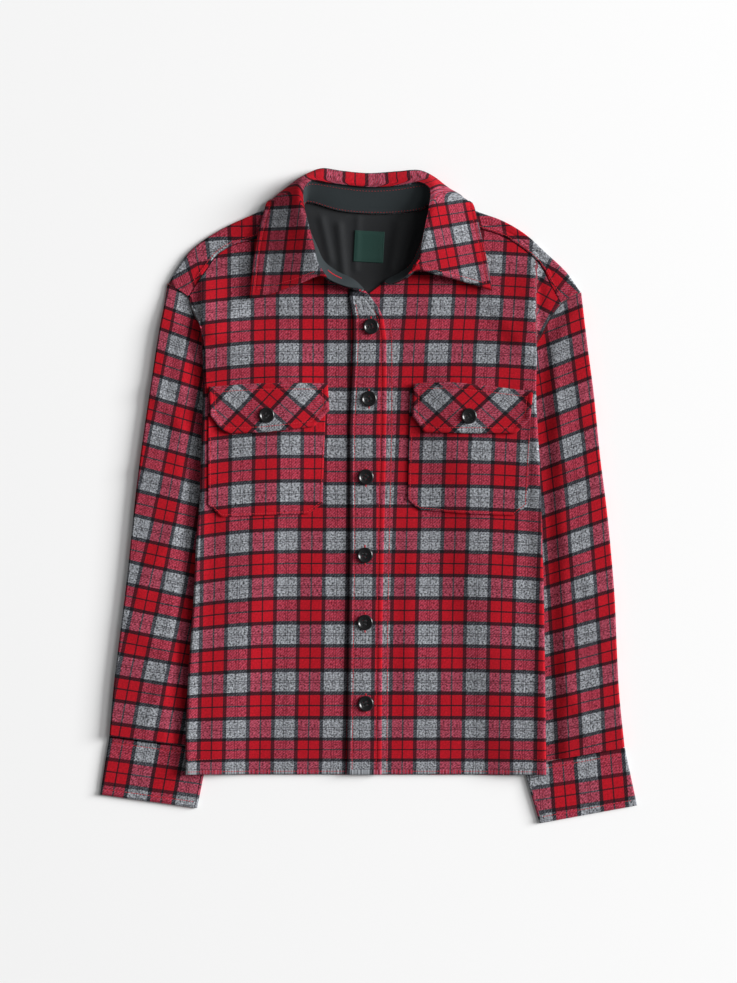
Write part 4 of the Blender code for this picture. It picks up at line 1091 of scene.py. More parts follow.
band = np.asarray(BAND)
band_y = np.unique(np.r_[BAND_BOTTOM + BAND_LENGTH * edge_steps(BAND_LENGTH, 2.5), band[:, 0]])
band_left = np.interp(band_y, band[:, 0], band[:, 1])
band_right = np.interp(band_y, band[:, 0], band[:, 2])
w = edge_steps(40.0, 1.6)[:, None]
band_x = band_left * (1 - w) + band_right * w
band_plan = np.dstack([band_x, np.broadcast_to(band_y, band_x.shape)])
band_plan[:, :, 1] += BAND_SLANT * (1.0 - w) * smooth_step((band_y - BAND_SLANT_Y) / BAND_SLANT_LENGTH)
x, y = band_plan[:, :, 0], band_plan[:, :, 1]
band_outline = np.vstack([band[:, [1, 0]], band[::-1][:, [2, 0]], band[:1, [1, 0]]])
band_outline[len(band) - 1, 1] += BAND_SLANT
form = edge_form(line_distance(x, y, band_outline), DOUBLE, BAND_INSET, 0.5, 0.35)
u = (x - band_left[None, :] - BAND_COLUMN) / REPEAT_X
cloth = np.dstack([u, np.broadcast_to(row_number(band_y), x.shape)])
placket = flat_wall("button_band", band_plan, BAND_TOP, DOUBLE, form, cloth, check_flannel)
dress(placket, "placket")

# %% [markdown]
# ## The yoke over the shoulders
# The yoke starts at the back seam, goes up under the garment, turns over the shoulder and ends at the front
# seam a hand's width down. Each station of the table is one line across it, and the surface carries that line
# flat, round half a circle whose share dies out behind the neck, and flat again.

# %% Yoke
# A gray row on each shoulder: column number, its spot in the photograph, and the lean of the column there
YOKE_ROW = {
    "right": [(-1.0, 175.7, 264.1, 0.45), (-0.5, 196.5, 252.7, 0.17), (0.0, 219.5, 250.3, 0.10),
              (0.5, 242.0, 250.5, 0.0), (1.0, 266.0, 250.0, -0.02)],
    "left": [(0.0, 496.0, 250.0, 0.22), (0.5, 518.8, 249.2, 0.09), (1.0, 541.5, 250.8, -0.20),
             (1.5, 563.1, 262.0, -0.75), (2.0, 581.0, 278.0, -0.80)],
}


def yoke_map(side, x, y):
    """Repeats on a shoulder: find the column whose leaning line goes through the point, by eight rounds of
    x on the row = x - lean · (row y - y). Then v is the height over the row, along the column."""
    table = np.array([(number, *spot(px, py), lean) for number, px, py, lean in YOKE_ROW[side]])
    table = np.vstack([table[0] + 4 * (table[0] - table[1]), table, table[-1] + 4 * (table[-1] - table[-2])])
    table[0, 3], table[-1, 3] = table[1, 3], table[-2, 3]
    number = np.interp(x, table[:, 1], table[:, 0])
    for _ in range(8):
        row_y = np.interp(number, table[:, 0], table[:, 2])
        lean = np.interp(number, table[:, 0], table[:, 3])
        number = 0.5 * number + 0.5 * np.interp(x - lean * (row_y - y), table[:, 1], table[:, 0])
    row_y = np.interp(number, table[:, 0], table[:, 2])
    lean = np.interp(number, table[:, 0], table[:, 3])
    return np.dstack([number, (y - row_y) * np.sqrt(1.0 + lean ** 2) / REPEAT_Y])


table = blend_rows(RIGHT_YOKE + LEFT_YOKE[::-1], 241)
back_line = np.column_stack([table[:, 0], np.full(len(table), YOKE_SEAM_Y)])
fold_line, front_line, share = table[:, 1:3], table[:, 3:5], np.clip(table[:, 5], 0.0, 1.0)[None, :]
up = fold_line - back_line
up /= np.linalg.norm(up, axis=1)[:, None]
turn_start = fold_line - up * (FOLD_RADIUS * share[0])[:, None]
b = np.linspace(0.0, 1.0, 32)[:-1, None, None]
q = np.linspace(0.0, 1.0, 13)[:, None]
away = FOLD_RADIUS * np.sin(math.pi * share * q) * share + (1.0 - share) * q
turned = turn_start[None] + up[None] * away[:, :, None]
f = edge_steps(38.0, 1.6)[1:, None, None]
plan = np.concatenate([back_line[None] + (turn_start - back_line)[None] * b, turned,
                       turned[-1:] + (front_line[None] - turned[-1:]) * f])
x, y = plan[:, :, 0], plan[:, :, 1]
rise = np.concatenate([np.zeros((len(b), len(table))), 1.0 - np.cos(math.pi * share * q),
                       np.repeat(1.0 - np.cos(math.pi * share), len(f), axis=0)])
on_top = rise / 2.0
seam = line_distance(x, y, front_line[15:-15])
form = edge_form(seam, CLOTH, 6.5, 0.45, 0.3) * smooth_step(on_top * 2.0 - 1.0)
outer = np.dstack([x, y, ground(x, y) + FOLD_RADIUS * rise + body_folds(x, y) * on_top + form])
cloth = np.dstack([x / REPEAT_X, y / REPEAT_Y])
past = FOLD_RADIUS * math.pi * share[:, :, None] * (1.0 - q[:, :, None])
flat = np.concatenate([turned[-1:] + up[None] * past, plan[len(b) + len(q):]])
for side, sign in SIDES.items():
    chosen = sign * flat[:, :, :1] > 0
    cloth[len(b):] = np.where(chosen, yoke_map(side, flat[:, :, 0], flat[:, :, 1]), cloth[len(b):])
yoke_face = outer
yoke = cloth_wall("yoke_over_shoulders", outer, outer - CLOTH * grid_normals(outer), cloth, check_flannel)
dress(yoke, "yoke")

# %% [markdown]
# ## Dark lining, collar stand and label
# Inside the neck the garment is dark: a smooth charcoal lining that hangs in soft folds, and the inner facing
# of the collar stand. Both get a fine plain weave from one group, and the label a coarser one in dark green,
# left plain.

# %% Group: plain weave


def half_sine(tree, run):
    """One hump to a thread: |sin(pi · run)|."""
    return math_node(tree, "ABSOLUTE", math_node(tree, "SINE", math_node(tree, "MULTIPLY", run, math.pi)))


def make_plain_weave_group():
    """Colour and height of a plain weave: the height is one of two half sines, taken in turn as a chequer."""
    group, start, end = new_group(
        "plain_weave",
        [("Place", "NodeSocketVector", None), ("Threads", "NodeSocketFloat", 2400.0),
         ("Colour", "NodeSocketColor", (0.02, 0.02, 0.02, 1.0)), ("Fleck", "NodeSocketFloat", 0.5)],
        [("Colour", "NodeSocketColor"), ("Height", "NodeSocketFloat")])
    split = group.nodes.new("ShaderNodeSeparateXYZ")
    link(group, start.outputs["Place"], split.inputs[0])
    warp = math_node(group, "MULTIPLY", split.outputs[0], start.outputs["Threads"])
    weft = math_node(group, "MULTIPLY", split.outputs[1], start.outputs["Threads"])
    total = math_node(group, "ADD", math_node(group, "FLOOR", warp), math_node(group, "FLOOR", weft))
    over = math_node(group, "FLOORED_MODULO", total, 2.0)
    waves = [half_sine(group, run) for run in (warp, weft)]
    chosen = group.nodes.new("ShaderNodeMix")
    link(group, over, chosen.inputs[0])
    link(group, waves[0], chosen.inputs[2])
    link(group, waves[1], chosen.inputs[3])
    fleck = noise(group, start.outputs["Place"], 900.0, 3.0, 0.6)
    off_mean = math_node(group, "SUBTRACT", fleck, 0.5)
    shade = math_node(group, "MULTIPLY_ADD", off_mean, start.outputs["Fleck"], 1.0)
    link(group, shaded(group, start.outputs["Colour"], shade), end.inputs["Colour"])
    link(group, chosen.outputs[0], end.inputs["Height"])
    return group


plain_weave_group = make_plain_weave_group()


def plain_cloth(name, colour, threads_per_metre, roughness, sheen):
    """A smooth dyed cloth: the plain weave on Object coordinates."""
    material, tree, shader = new_material(name, roughness, sheen, 0.3)
    place = tree.nodes.new("ShaderNodeTexCoord")
    weave = placed(tree, plain_weave_group, Threads=threads_per_metre, Colour=(*colour, 1.0), Fleck=0.5)
    link(tree, place.outputs["Object"], weave.inputs["Place"])
    link(tree, weave.outputs["Colour"], shader.inputs["Base Color"])
    bump(tree, shader, weave.outputs["Height"], 0.4, 0.0001)
    return material


charcoal_lining = plain_cloth("charcoal_lining", (0.0088, 0.0100, 0.0118), 2600.0, 0.70, 0.05)
charcoal_facing = plain_cloth("charcoal_facing", (0.0160, 0.0225, 0.0255), 2200.0, 0.75, 0.06)
green_label = plain_cloth("green_label", (0.0075, 0.040, 0.031), 1500.0, 0.65, 0.04)
print("group", plain_weave_group.name, "on three cloths")

# %% Lining in the neck
LINING_TOP = CLOTH + GAP + THIN
LINING_FOLDS = [
    (-34.0, 310.0, -28.0, 250.0, 5.0, 1.6), (-12.0, 318.0, -15.0, 262.0, 4.0, 0.9),
    (34.0, 312.0, 26.0, 262.0, 5.0, 1.5), (52.0, 306.0, 38.0, 266.0, 4.0, 1.1),
    (-54.0, 318.0, -44.0, 272.0, 4.5, 1.2),
]

reach = 9.0
right_side = [(row[0] - reach, row[1]) for row in RIGHT_STAND[:7]]
left_side = [(row[0] + reach, row[1]) for row in LEFT_STAND[:7]]
rows = np.linspace(0.0, 1.0, 62)
columns = np.linspace(0.0, 1.0, 76)
left_line = along([(-30.0, 208.0)] + right_side, rows)
right_line = along([(30.0, 208.0)] + left_side, rows)
neck_back = [(-72.0, 335.8), (-62.0, 335.2), (-33.0, 326.6), (0.0, 323.4), (33.0, 324.0), (60.0, 327.6),
             (68.0, 332.4)]
top_line = along([tuple(left_line[-1])] + neck_back + [tuple(right_line[-1])], columns, False)
bottom_line = along([left_line[0], right_line[0]], columns, False)
plan = patch(bottom_line, top_line, left_line, right_line, columns, rows)
x, y = plan[:, :, 0], plan[:, :, 1]
outer = np.dstack([x, y, ground(x, y) + LINING_TOP + folds(x, y, LINING_FOLDS)])
lining = cloth_wall("back_neck_lining", outer, outer - [0.0, 0.0, THIN], plan / REPEAT_X, charcoal_lining)
dress(lining, "back_lining")

# %% Neck label
LABEL_TOP = LINING_TOP + GAP + THIN

steps = edge_steps(35.0, 1.2, (0.0, 0.3, 0.7, 1.2, 1.8, 2.4, 3.2)) - 0.5
u, v = np.meshgrid(steps * LABEL_SIZE[0], steps * LABEL_SIZE[1], indexing="ij")
x = LABEL_CENTRE[0] + u * math.cos(LABEL_TURN) - v * math.sin(LABEL_TURN)
y = LABEL_CENTRE[1] + u * math.sin(LABEL_TURN) + v * math.cos(LABEL_TURN)
edge = np.minimum(LABEL_SIZE[0] / 2 - np.abs(u), LABEL_SIZE[1] / 2 - np.abs(v))
height = ground(x, y) + LABEL_TOP + 0.5 * folds(x, y, LINING_FOLDS)
form = edge_form(edge, THIN, 1.8, 0.2, 0.05)
label = cloth_wall("bare_neck_label", np.dstack([x, y, height + form]), np.dstack([x, y, height - THIN]),
                   np.dstack([u, v]) * MM, green_label)
dress(label, "neck_label")

# %% [markdown]
# ## Collar
# The stand is a band that stands up from the neck seam and leans outward: dark facing inside, check outside.
# The leaf grows from its top, rolls over and falls to its edge. Each station holds six points of that curve,
# the stations are blended along the collar, and each curve is walked at steps of length.

# %% Collar stand
STAND_COLUMNS = 300
STAND_ROWS = 22
# The stand's two seams: the first and last column of the stretch that shows inside the neck, and the row
STAND_SEAMS = [(100, 262, 1), (112, 262, 18)]


def stand_grid(columns, rows):
    """Inner face of the stand: (1 - w) · neck seam + w · top seam, from the right tip round to the left."""
    line = blend_rows(RIGHT_STAND + LEFT_STAND[::-1], columns)
    w = rows[None, :, None]
    return line[:, None, :3] * (1 - w) + line[:, None, 3:] * w


w = np.linspace(0.0, 1.0, STAND_ROWS)
face = stand_grid(STAND_COLUMNS, w)
normals = grid_normals(face)
stand_face = face + 0.1 * normals
lengths = np.linspace(0.0, 500.0, STAND_COLUMNS)[:, None] * np.ones(STAND_ROWS)
stand_cloth = np.dstack([lengths / REPEAT_X, np.broadcast_to(w * 0.5, lengths.shape)])
facing = cloth_wall("stand_facing_inside", face, face - THIN * normals, stand_cloth, charcoal_facing)
dress(facing, "stand_facing")
outer = face - (THIN + GAP) * normals
inner = face - (THIN + GAP + CLOTH) * normals
stand = cloth_wall("collar_stand_outside", outer, inner, stand_cloth, check_flannel)
dress(stand, "collar_stand")

# %% Collar leaf
# Repeats along the leaf at its stations, from the fourth to the sixteenth
LEAF_REPEATS = [0.18, 0.48, 0.78, 1.22, 1.63, 2.2, 2.8, 3.5, 4.0, 4.35, 4.78, 5.18, 5.47]
# A gray crossing on each front of the leaf, one repeat across it and one down it, in the photograph
LEAF_STEPS = {
    "right": ((280.3, 219.9), (37.0, 0.0), (-5.6, 44.2)),
    "left": ((460.9, 235.4), (-36.4, 7.3), (8.5, 41.2)),
}
# The check across the leaf behind the neck: repeats at the roll, and from there to the silhouette
ROLL_REPEAT = 0.27
BACK_REPEATS = 0.225
# Stations over which a front's own map gives way to the one behind the neck, and how many that takes
RIGHT_FRONT_ENDS = 3.6
LEFT_FRONT_BEGINS = 12.8
FRONT_BLEND = 1.6
# Repeats at the gray crossing on the left front: across the leaf, and along it from the right front
LEFT_CROSSING = (0.0, 6.0)
LEAF_PLACES = 1.0 - edge_steps(84.0, 1.4)[::-1]


def leaf_grid(stations, steps):
    """Outer face of the leaf: top of the stand, crest, middle, silhouette, a point under it and the edge."""
    tops = np.array([row[3:] for row in RIGHT_STAND + LEFT_STAND[::-1]])
    tops = along(tops[2:-2], len(LEAF))
    tops[:, 2] += GAP + DOUBLE + 0.6
    leaf = np.array(LEAF)
    silhouette, edge = leaf[:, 6:9], leaf[:, 9:12]
    under = silhouette + (edge - silhouette) * 0.3
    under[:, 2] = edge[:, 2] + (silhouette[:, 2] - edge[:, 2]) * 0.7 * np.minimum(edge[:, 2] / 12.0, 1.0)
    table = blend_rows(np.column_stack([tops, leaf[:, :9], under, edge]), stations)
    curves = np.array([along(line, steps) for line in table.reshape(stations, 6, 3)])
    curves[:, :, 2] = np.maximum(curves[:, :, 2], 0.0)
    return curves


def leaf_map(face):
    """Repeats on the leaf: along by its stations, and across by the share of the way from the roll to the
    silhouette, as seen from above. Where a front lies open its own steps count. The three maps are blended
    over a stretch of stations at each shoulder."""
    x, y = face[:, :, 0], face[:, :, 1]
    station = np.linspace(0.0, len(LEAF) - 1.0, len(face))[:, None]
    plan = face[:, :, :2]
    walked = np.cumsum(np.linalg.norm(np.diff(plan, axis=1, prepend=plan[:, :1]), axis=2), axis=1)
    run = np.interp(station, np.arange(3, 16), LEAF_REPEATS) + 0.0 * walked
    silhouette = blend_rows(np.array(LEAF)[:, 6:8], len(face))
    nearest = np.linalg.norm(plan - silhouette[:, None], axis=2).argmin(axis=1)
    reach = np.maximum(walked[np.arange(len(face)), nearest], 1.0)[:, None]
    back = np.dstack([ROLL_REPEAT + BACK_REPEATS * walked / reach, run])
    fronts = {}
    for side, (crossing, across, down) in LEAF_STEPS.items():
        fronts[side] = lattice_map(x, y, spot(*crossing), *plan_steps(across, down))
    right = fronts["right"]
    left = np.array(LEFT_CROSSING) + fronts["left"] * [1.0, -1.0]
    right_share = (1.0 - smooth_step((station - RIGHT_FRONT_ENDS) / FRONT_BLEND))[:, :, None]
    left_share = smooth_step((station - LEFT_FRONT_BEGINS) / FRONT_BLEND)[:, :, None]
    return back * (1.0 - right_share - left_share) + right * right_share + left * left_share


face = leaf_grid(361, LEAF_PLACES)
edge = np.minimum.reduce([np.linalg.norm(face - end, axis=2) for end in (face[:, -1:], face[:1], face[-1:])])
normals = grid_normals(face)
form = edge_form(edge, DOUBLE, 6.0, 0.5, 0.35)
outer = face + normals * form[:, :, None]
cloth = leaf_map(face)
inner = face - DOUBLE * normals
outer[:, :, 2] = np.maximum(outer[:, :, 2], 0.0)
inner[:, :, 2] = np.maximum(inner[:, :, 2], 0.0)
leaf_face = outer
leaf_piece = cloth_wall("collar_leaf_cloth", outer, inner, cloth, check_flannel)
dress(leaf_piece, "collar_leaf")

# %% [markdown]
# ## Sleeves and cuffs
# A laid sleeve is a flattened tube. A ring goes along the top, round the outer fold, back below and round
# the inner fold, and the rings are carried from the armhole to the cuff.

# %% Tubes
# The middle of a gray band at each gray row: px, py, slope of the row in degrees, width of the repeat in px.
# The first row on the right has its own slope, and its middle and width are carried on from the next one.
SLEEVE_BANDS = {
    "right": [(214.9, 359.8, 20.0, 39.5), (207.0, 402.0, 16.5, 39.5), (198.6, 447.7, 15.9, 40.0),
              (191.3, 492.6, 14.4, 41.5), (182.9, 537.6, 12.7, 43.2), (174.8, 582.5, 12.4, 47.0),
              (165.6, 627.3, 12.0, 48.0), (156.3, 670.8, 9.5, 48.0), (147.9, 715.7, 8.0, 48.0),
              (139.0, 763.0, 7.5, 48.0)],
    "left": [(560.0, 352.0, -21.0, 48.0), (566.0, 399.0, -21.0, 48.0), (572.0, 446.0, -21.0, 48.0),
             (577.0, 493.0, -20.0, 48.0), (580.0, 540.0, -19.0, 48.0), (583.5, 587.0, -17.0, 48.0),
             (586.5, 634.0, -15.0, 48.0), (589.0, 678.0, -14.0, 48.0), (591.0, 722.0, -13.0, 48.0),
             (593.0, 768.0, -13.0, 48.0)],
}
# The crown of a sleeve beside the body: its height, how far outside the body's edge it begins and over what
# width it rises, and the dip between
PUFF = 4.4
PUFF_START = 9.0
PUFF_RISE = 20.0
EDGE_DIP = 1.1


def sleeve_map(side, x, y):
    """Repeats on a sleeve: find the row k whose sloping line goes through the point, by six rounds of
    k = row at (y + tan(slope(k)) · (x - band x(k))). Then u is the distance from the band along the row, in
    repeats as wide as they are on that row."""
    table = np.array([(*spot(px, py), slope, width * PIXEL) for px, py, slope, width in SLEEVE_BANDS[side]])
    numbers = np.arange(len(table), dtype=float)
    far = np.vstack([table[0] + 4 * (table[0] - table[1]), table, table[-1] + 4 * (table[-1] - table[-2])])
    far[0, 2:], far[-1, 2:] = table[0, 2:], table[-1, 2:]
    numbers = np.r_[-4.0, numbers, numbers[-1] + 4.0]
    k = np.interp(-y, -far[:, 1], numbers)
    for _ in range(6):
        slope = np.tan(np.radians(np.interp(k, numbers, far[:, 2])))
        band_x = np.interp(k, numbers, far[:, 0])
        k = np.interp(-(y + slope * (x - band_x)), -far[:, 1], numbers)
    slope = np.radians(np.interp(k, numbers, far[:, 2]))
    u = (x - np.interp(k, numbers, far[:, 0])) / np.cos(slope) / np.interp(k, numbers, far[:, 3])
    return np.dstack([u, -k])


def tube_rows(starts, ends, bulge, top_t, shrink, puff):
    """Rings of a flattened tube: top from inner to outer edge, outer half circle, below, inner half circle.

    Also the unrolled plan of each point, which goes on straight past the outer fold by arc length."""
    middle = SLEEVE_HEIGHT / 2
    radius = middle - shrink
    span = ends - starts
    length = np.linalg.norm(span, axis=1)[:, None, None]
    across = (span / length[:, 0])[:, None]
    inset = middle / length
    t = inset + (1 - 2 * inset) * (1.0 - top_t)[None, :, None]
    top = starts[:, None] + span[:, None] * t + bulge(t)
    crown = puff(top[:, :, 0], top[:, :, 1])
    turns = np.linspace(0.0, math.pi, 11)[1:-1]
    count = len(starts)
    outer = top[:, -1:] - across * radius * np.sin(turns)[None, :, None]
    inner = top[:, :1] + across * radius * np.sin(turns)[::-1][None, :, None]
    plan = np.concatenate([top, outer, top[:, ::-1], inner], axis=1)
    outer_z = np.broadcast_to(middle + radius * np.cos(turns), (count, 9))
    inner_z = np.broadcast_to(middle - radius * np.cos(turns), (count, 9))
    level = np.full(top.shape[:2], middle + radius) + crown
    z = np.concatenate([level, outer_z, np.full(top.shape[:2], middle - radius), inner_z], axis=1)
    past = top[:, -1:] - across * (middle * turns)[None, :, None]
    below = top[:, -1:] - across * (middle * math.pi) + (top[:, -1:] - top[:, ::-1])
    beyond = below[:, -1:] - across * (middle * np.r_[turns, math.pi])[None, :, None]
    return np.dstack([plan, z[:, :, None]]), np.concatenate([top, past, below, beyond], axis=1)


def sleeve_puff(side):
    """How far a sleeve's top stands proud: a low crown beside the body, none under it, and its own folds."""
    sign = SIDES[side]
    edge = side_line(side, 60)

    def height(x, y):
        """crown · (puff + folds) outside the body's edge, less the dip along it."""
        out = sign * x - np.interp(y, edge[:, 1], sign * edge[:, 0])
        crown = smooth_step((out - PUFF_START) / PUFF_RISE)
        free = crown * smooth_step((250.0 - y) / 60.0)
        dip = EDGE_DIP * smooth_step((out + 4.0) / 6.0) * (1.0 - crown)
        return free * (PUFF + folds(x, y, SLEEVE_FOLDS[side])) - dip * smooth_step((180.0 - y) / 40.0)
    return height


# Soft folds of the sleeves beside the body: start x, y, end x, y, width, height
SLEEVE_FOLDS = {
    "right": [(-245.0, 120.0, -200.0, 60.0, 9.0, 1.6), (-258.0, 30.0, -205.0, 10.0, 8.0, 1.2),
              (-225.0, -40.0, -262.0, -110.0, 9.0, 1.3), (-270.0, -150.0, -220.0, -190.0, 9.0, 1.2),
              (-235.0, -215.0, -255.0, -262.0, 8.0, 1.4), (-222.0, 180.0, -236.0, 80.0, 8.0, -0.9)],
    "left": [(246.0, 110.0, 206.0, 70.0, 9.0, 1.5), (262.0, 20.0, 210.0, 40.0, 8.0, 1.2),
             (226.0, -50.0, 262.0, -120.0, 9.0, 1.3), (272.0, -170.0, 222.0, -200.0, 9.0, 1.2),
             (232.0, -225.0, 252.0, -275.0, 8.0, 1.4), (222.0, 170.0, 238.0, 70.0, 8.0, -0.9)],
}
print("sleeve rows", {side: len(rows) for side, rows in SLEEVE_BANDS.items()})

# %% Sleeves
SLEEVE_RINGS = 150
CAP_POINTS = 40
# Share of a sleeve's length over which the curve of the armhole dies out
CAP_SHARE = 4.0 / 11.0

for side in SIDES:
    cap = along(ARMHOLE[side], CAP_POINTS)
    first = np.array([[*cap[0], *cap[-1]]])
    sections = along(np.vstack([first, SLEEVE[side]]), SLEEVE_RINGS)
    share_down = np.linspace(0.0, 1.0, SLEEVE_RINGS)[:, None, None]
    straight = cap[0] + (cap[-1] - cap[0]) * np.linspace(0.0, 1.0, CAP_POINTS)[:, None]
    offset = cap - straight

    def bulge(t):
        """The armhole's curve at the shares t of its chord, less of it on each ring down the sleeve."""
        places = np.linspace(0.0, 1.0, CAP_POINTS)
        shape = np.dstack([np.interp(t[:, :, 0], places, offset[:, k]) for k in range(2)])
        return shape * smooth_step(1.0 - share_down / CAP_SHARE)

    top_t = np.linspace(0.0, 1.0, 58)
    puff = sleeve_puff(side)
    outer, unrolled = tube_rows(sections[:, :2], sections[:, 2:], bulge, top_t, 0.0, puff)
    inner, _ = tube_rows(sections[:, :2], sections[:, 2:], bulge, top_t, CLOTH, puff)
    cloth = sleeve_map(side, unrolled[:, :, 0], unrolled[:, :, 1])
    sleeve = cloth_wall("sleeve_tube_" + side, outer, inner, cloth, check_flannel, around=True)
    dress(sleeve, "sleeve_" + side)

# %% Cuffs
# A gray crossing on each cuff, one repeat along the cuff and one down the sleeve, in pixels
CUFF_CROSSINGS = {
    "right": ((145.8, 752.0), (47.9, 6.5), (-8.9, 47.0)),
    "left": ((587.1, 767.5), (47.8, -7.4), (3.6, 48.2)),
}
CUFF_LENGTH = 68.5
CUFF_EDGE = (0.0, 0.4, 1.0, 2.0, 3.4, 5.0, 6.4, 7.0, 7.6, 9.0)


def straight_edge(t):
    """No bulge: a cuff's rings are straight."""
    return 0.0


def even_top(x, y):
    """No puff: a cuff lies flat."""
    return np.zeros(x.shape)


cuff_face = {}
for side in SIDES:
    sections = along(np.array(CUFF[side]), edge_steps(CUFF_LENGTH, 2.0, CUFF_EDGE))
    top_t = np.linspace(0.0, 1.0, 72)
    outer, unrolled = tube_rows(sections[:, :2], sections[:, 2:], straight_edge, top_t, 0.0, even_top)
    inner, _ = tube_rows(sections[:, :2], sections[:, 2:], straight_edge, top_t, CLOTH, even_top)
    down = np.cumsum(np.r_[0.0, np.linalg.norm(np.diff(sections[:, :2], axis=0), axis=1)])
    form = edge_form(np.minimum(down, down[-1] - down), CLOTH, 7.0, 0.5, 0.3)[:, None]
    on_top = smooth_step((outer[:, :, 2] - SLEEVE_HEIGHT / 2) / (SLEEVE_HEIGHT / 2))
    outer[:, :, 2] += form * on_top
    cuff_face[side] = outer
    crossing, along_cuff, down_cuff = CUFF_CROSSINGS[side]
    steps = plan_steps(along_cuff, down_cuff)
    cloth = lattice_map(unrolled[:, :, 0], unrolled[:, :, 1], spot(*crossing), *steps)[:, :, ::-1]
    cuff = cloth_wall("cuff_band_" + side, outer, inner, cloth, check_flannel, around=True)
    dress(cuff, "cuff_" + side)

# %% [markdown]
# ## The back
# The back lies face down on the table and the sleeves, so it shows only from below. It is one flat panel
# between the two side seams, where the turned-under fronts end, with its hem and soft hollows.

# %% Back panel


def side_seam(side, rows):
    """The plan line where the back meets the folded front, from the hem up to the yoke seam."""
    sign = SIDES[side]
    edge = side_line(side, np.linspace(0.0, 1.0, 120))
    folded_in = np.maximum(fold_tails(side, edge) - math.pi * FOLD_RADIUS, 0.0) + SEAM_GAP
    ends = edge - fold_outward(side, edge) * folded_in[:, None]
    turn_y = ARMHOLE[side][5][1] - 8.0
    low = ends[ends[:, 1] < turn_y]
    high = [(x - sign * 3.0, y) for x, y in ARMHOLE[side][5:0:-1] if turn_y + 4.0 < y < YOKE_SEAM_Y - 6.0]
    end = [(yoke_table(side)[0][0], YOKE_SEAM_Y - GAP)]
    return along(np.vstack([low, np.array(high).reshape(-1, 2), end]), rows, False)


rows = edge_steps(552.0, 5.0)
columns = np.linspace(0.0, 1.0, 84)
left_line, right_line = side_seam("right", rows), side_seam("left", rows)
hem = along([left_line[0], right_line[0]], columns, False)
seam = along([left_line[-1], right_line[-1]], columns, False)
plan = patch(hem, seam, left_line, right_line, columns, rows)
x, y = plan[:, :, 0], plan[:, :, 1]
floor_level = ground(x, y)
hem_form = edge_form(y - HEM_Y, CLOTH, HEM_STITCH, 0.4, 0.0)
outer = np.dstack([x, y, floor_level + CLOTH])
inner = np.dstack([x, y, floor_level - np.minimum(hem_form, 0.0)])
cloth = np.dstack([x / REPEAT_X, row_number(y)])
back = cloth_wall("back_panel", outer, inner, cloth, check_flannel)
dress(back, "back")

# %% [markdown]
# ## Buttons
# Each button is black polished resin: a dished plate with four holes inside a raised, rounded rim, sewn on
# with dark thread. The plate is four quarters, each a surface between the round hole and the quarter's
# outline, and the rim is a turned profile. A thin clear coat gives the small lights of polish.

# %% Button form
PLATE_RADIUS = 5.6
PLATE_TOP = 1.9
PLATE_DISH = 0.55
HOLE_OFFSET = 1.9
HOLE_RADIUS = 1.05
# Turned profile from the plate over the rim and down to the underside: radius, height
RIM = [(5.6, 1.9), (5.9, 1.98), (6.4, 2.32), (6.9, 2.68), (7.4, 3.0), (7.8, 3.02), (8.3, 2.72), (8.75, 2.3),
       (9.0, 1.7), (8.85, 0.9), (8.3, 0.35), (7.4, 0.0), (5.6, 0.0)]


def grid_quads(rows, columns, first=0, around=True):
    """Quads of a grid of indices, closed round its columns if it goes around."""
    i, j = np.meshgrid(np.arange(rows - 1), np.arange(columns if around else columns - 1), indexing="ij")
    k = (j + 1) % columns
    row, next_row = i * columns, (i + 1) * columns
    return np.stack([row + j, next_row + j, next_row + k, row + k], axis=-1).reshape(-1, 4) + first


def quarter_plate(turn):
    """A quarter of the plate: (1 - t) · hole circle + t · quarter outline, dished by 0.55 (1 - r² / R²)."""
    a = np.arange(32) * math.tau / 32
    ray_x, ray_y = np.cos(a), np.sin(a)
    near = 1e-9
    to_axis = np.minimum(np.where(ray_x < -near, HOLE_OFFSET / np.maximum(-ray_x, near), 1e9),
                         np.where(ray_y < -near, HOLE_OFFSET / np.maximum(-ray_y, near), 1e9))
    middle = HOLE_OFFSET * (ray_x + ray_y)
    to_round = -middle + np.sqrt(middle ** 2 + PLATE_RADIUS ** 2 - 2 * HOLE_OFFSET ** 2)
    reach = np.minimum(to_axis, to_round)
    t = np.array([0.0, 0.06, 0.2, 0.45, 0.75, 1.0])[:, None]
    radius = HOLE_RADIUS + (reach - HOLE_RADIUS)[None] * t
    x, y = HOLE_OFFSET + radius * ray_x, HOLE_OFFSET + radius * ray_y
    soft_rim = 0.16 * (1.0 - np.clip((radius - HOLE_RADIUS) / 0.25, 0.0, 1.0)) ** 2
    z = PLATE_TOP - PLATE_DISH * (1.0 - (x ** 2 + y ** 2) / PLATE_RADIUS ** 2) - soft_rim
    c, s = math.cos(turn), math.sin(turn)
    top = np.dstack([x * c - y * s, x * s + y * c, z])
    under = top[::-1] * [1.0, 1.0, 0.0]
    rise = np.linspace(0.0, 1.0, 4)[1:-1, None, None]
    wall = top[:1] * [1.0, 1.0, 0.0] + rise * (top[:1] * [0.0, 0.0, 1.0])
    return np.concatenate([under, wall, top])


def joined(grids):
    """All points of some grids in one list, and their quads, each grid closed round its columns."""
    first, quads = 0, []
    for grid in grids:
        quads.append(grid_quads(*grid.shape[:2], first))
        first += grid.shape[0] * grid.shape[1]
    return np.concatenate([grid.reshape(-1, 3) for grid in grids]), np.concatenate(quads)


def button_surface():
    """Points and quads of a button: four quarters, each with underside, hole wall and top, and the rim."""
    grids = [quarter_plate(k * math.pi / 2) for k in range(4)]
    profile = catmull_rom(RIM, np.linspace(0.0, len(RIM) - 1.0, 25))
    a = np.arange(64) * math.tau / 64
    grids.append(np.dstack([profile[:, :1] * np.cos(a), profile[:, :1] * np.sin(a),
                            np.broadcast_to(profile[:, 1:], (len(profile), len(a)))]))
    return joined(grids)


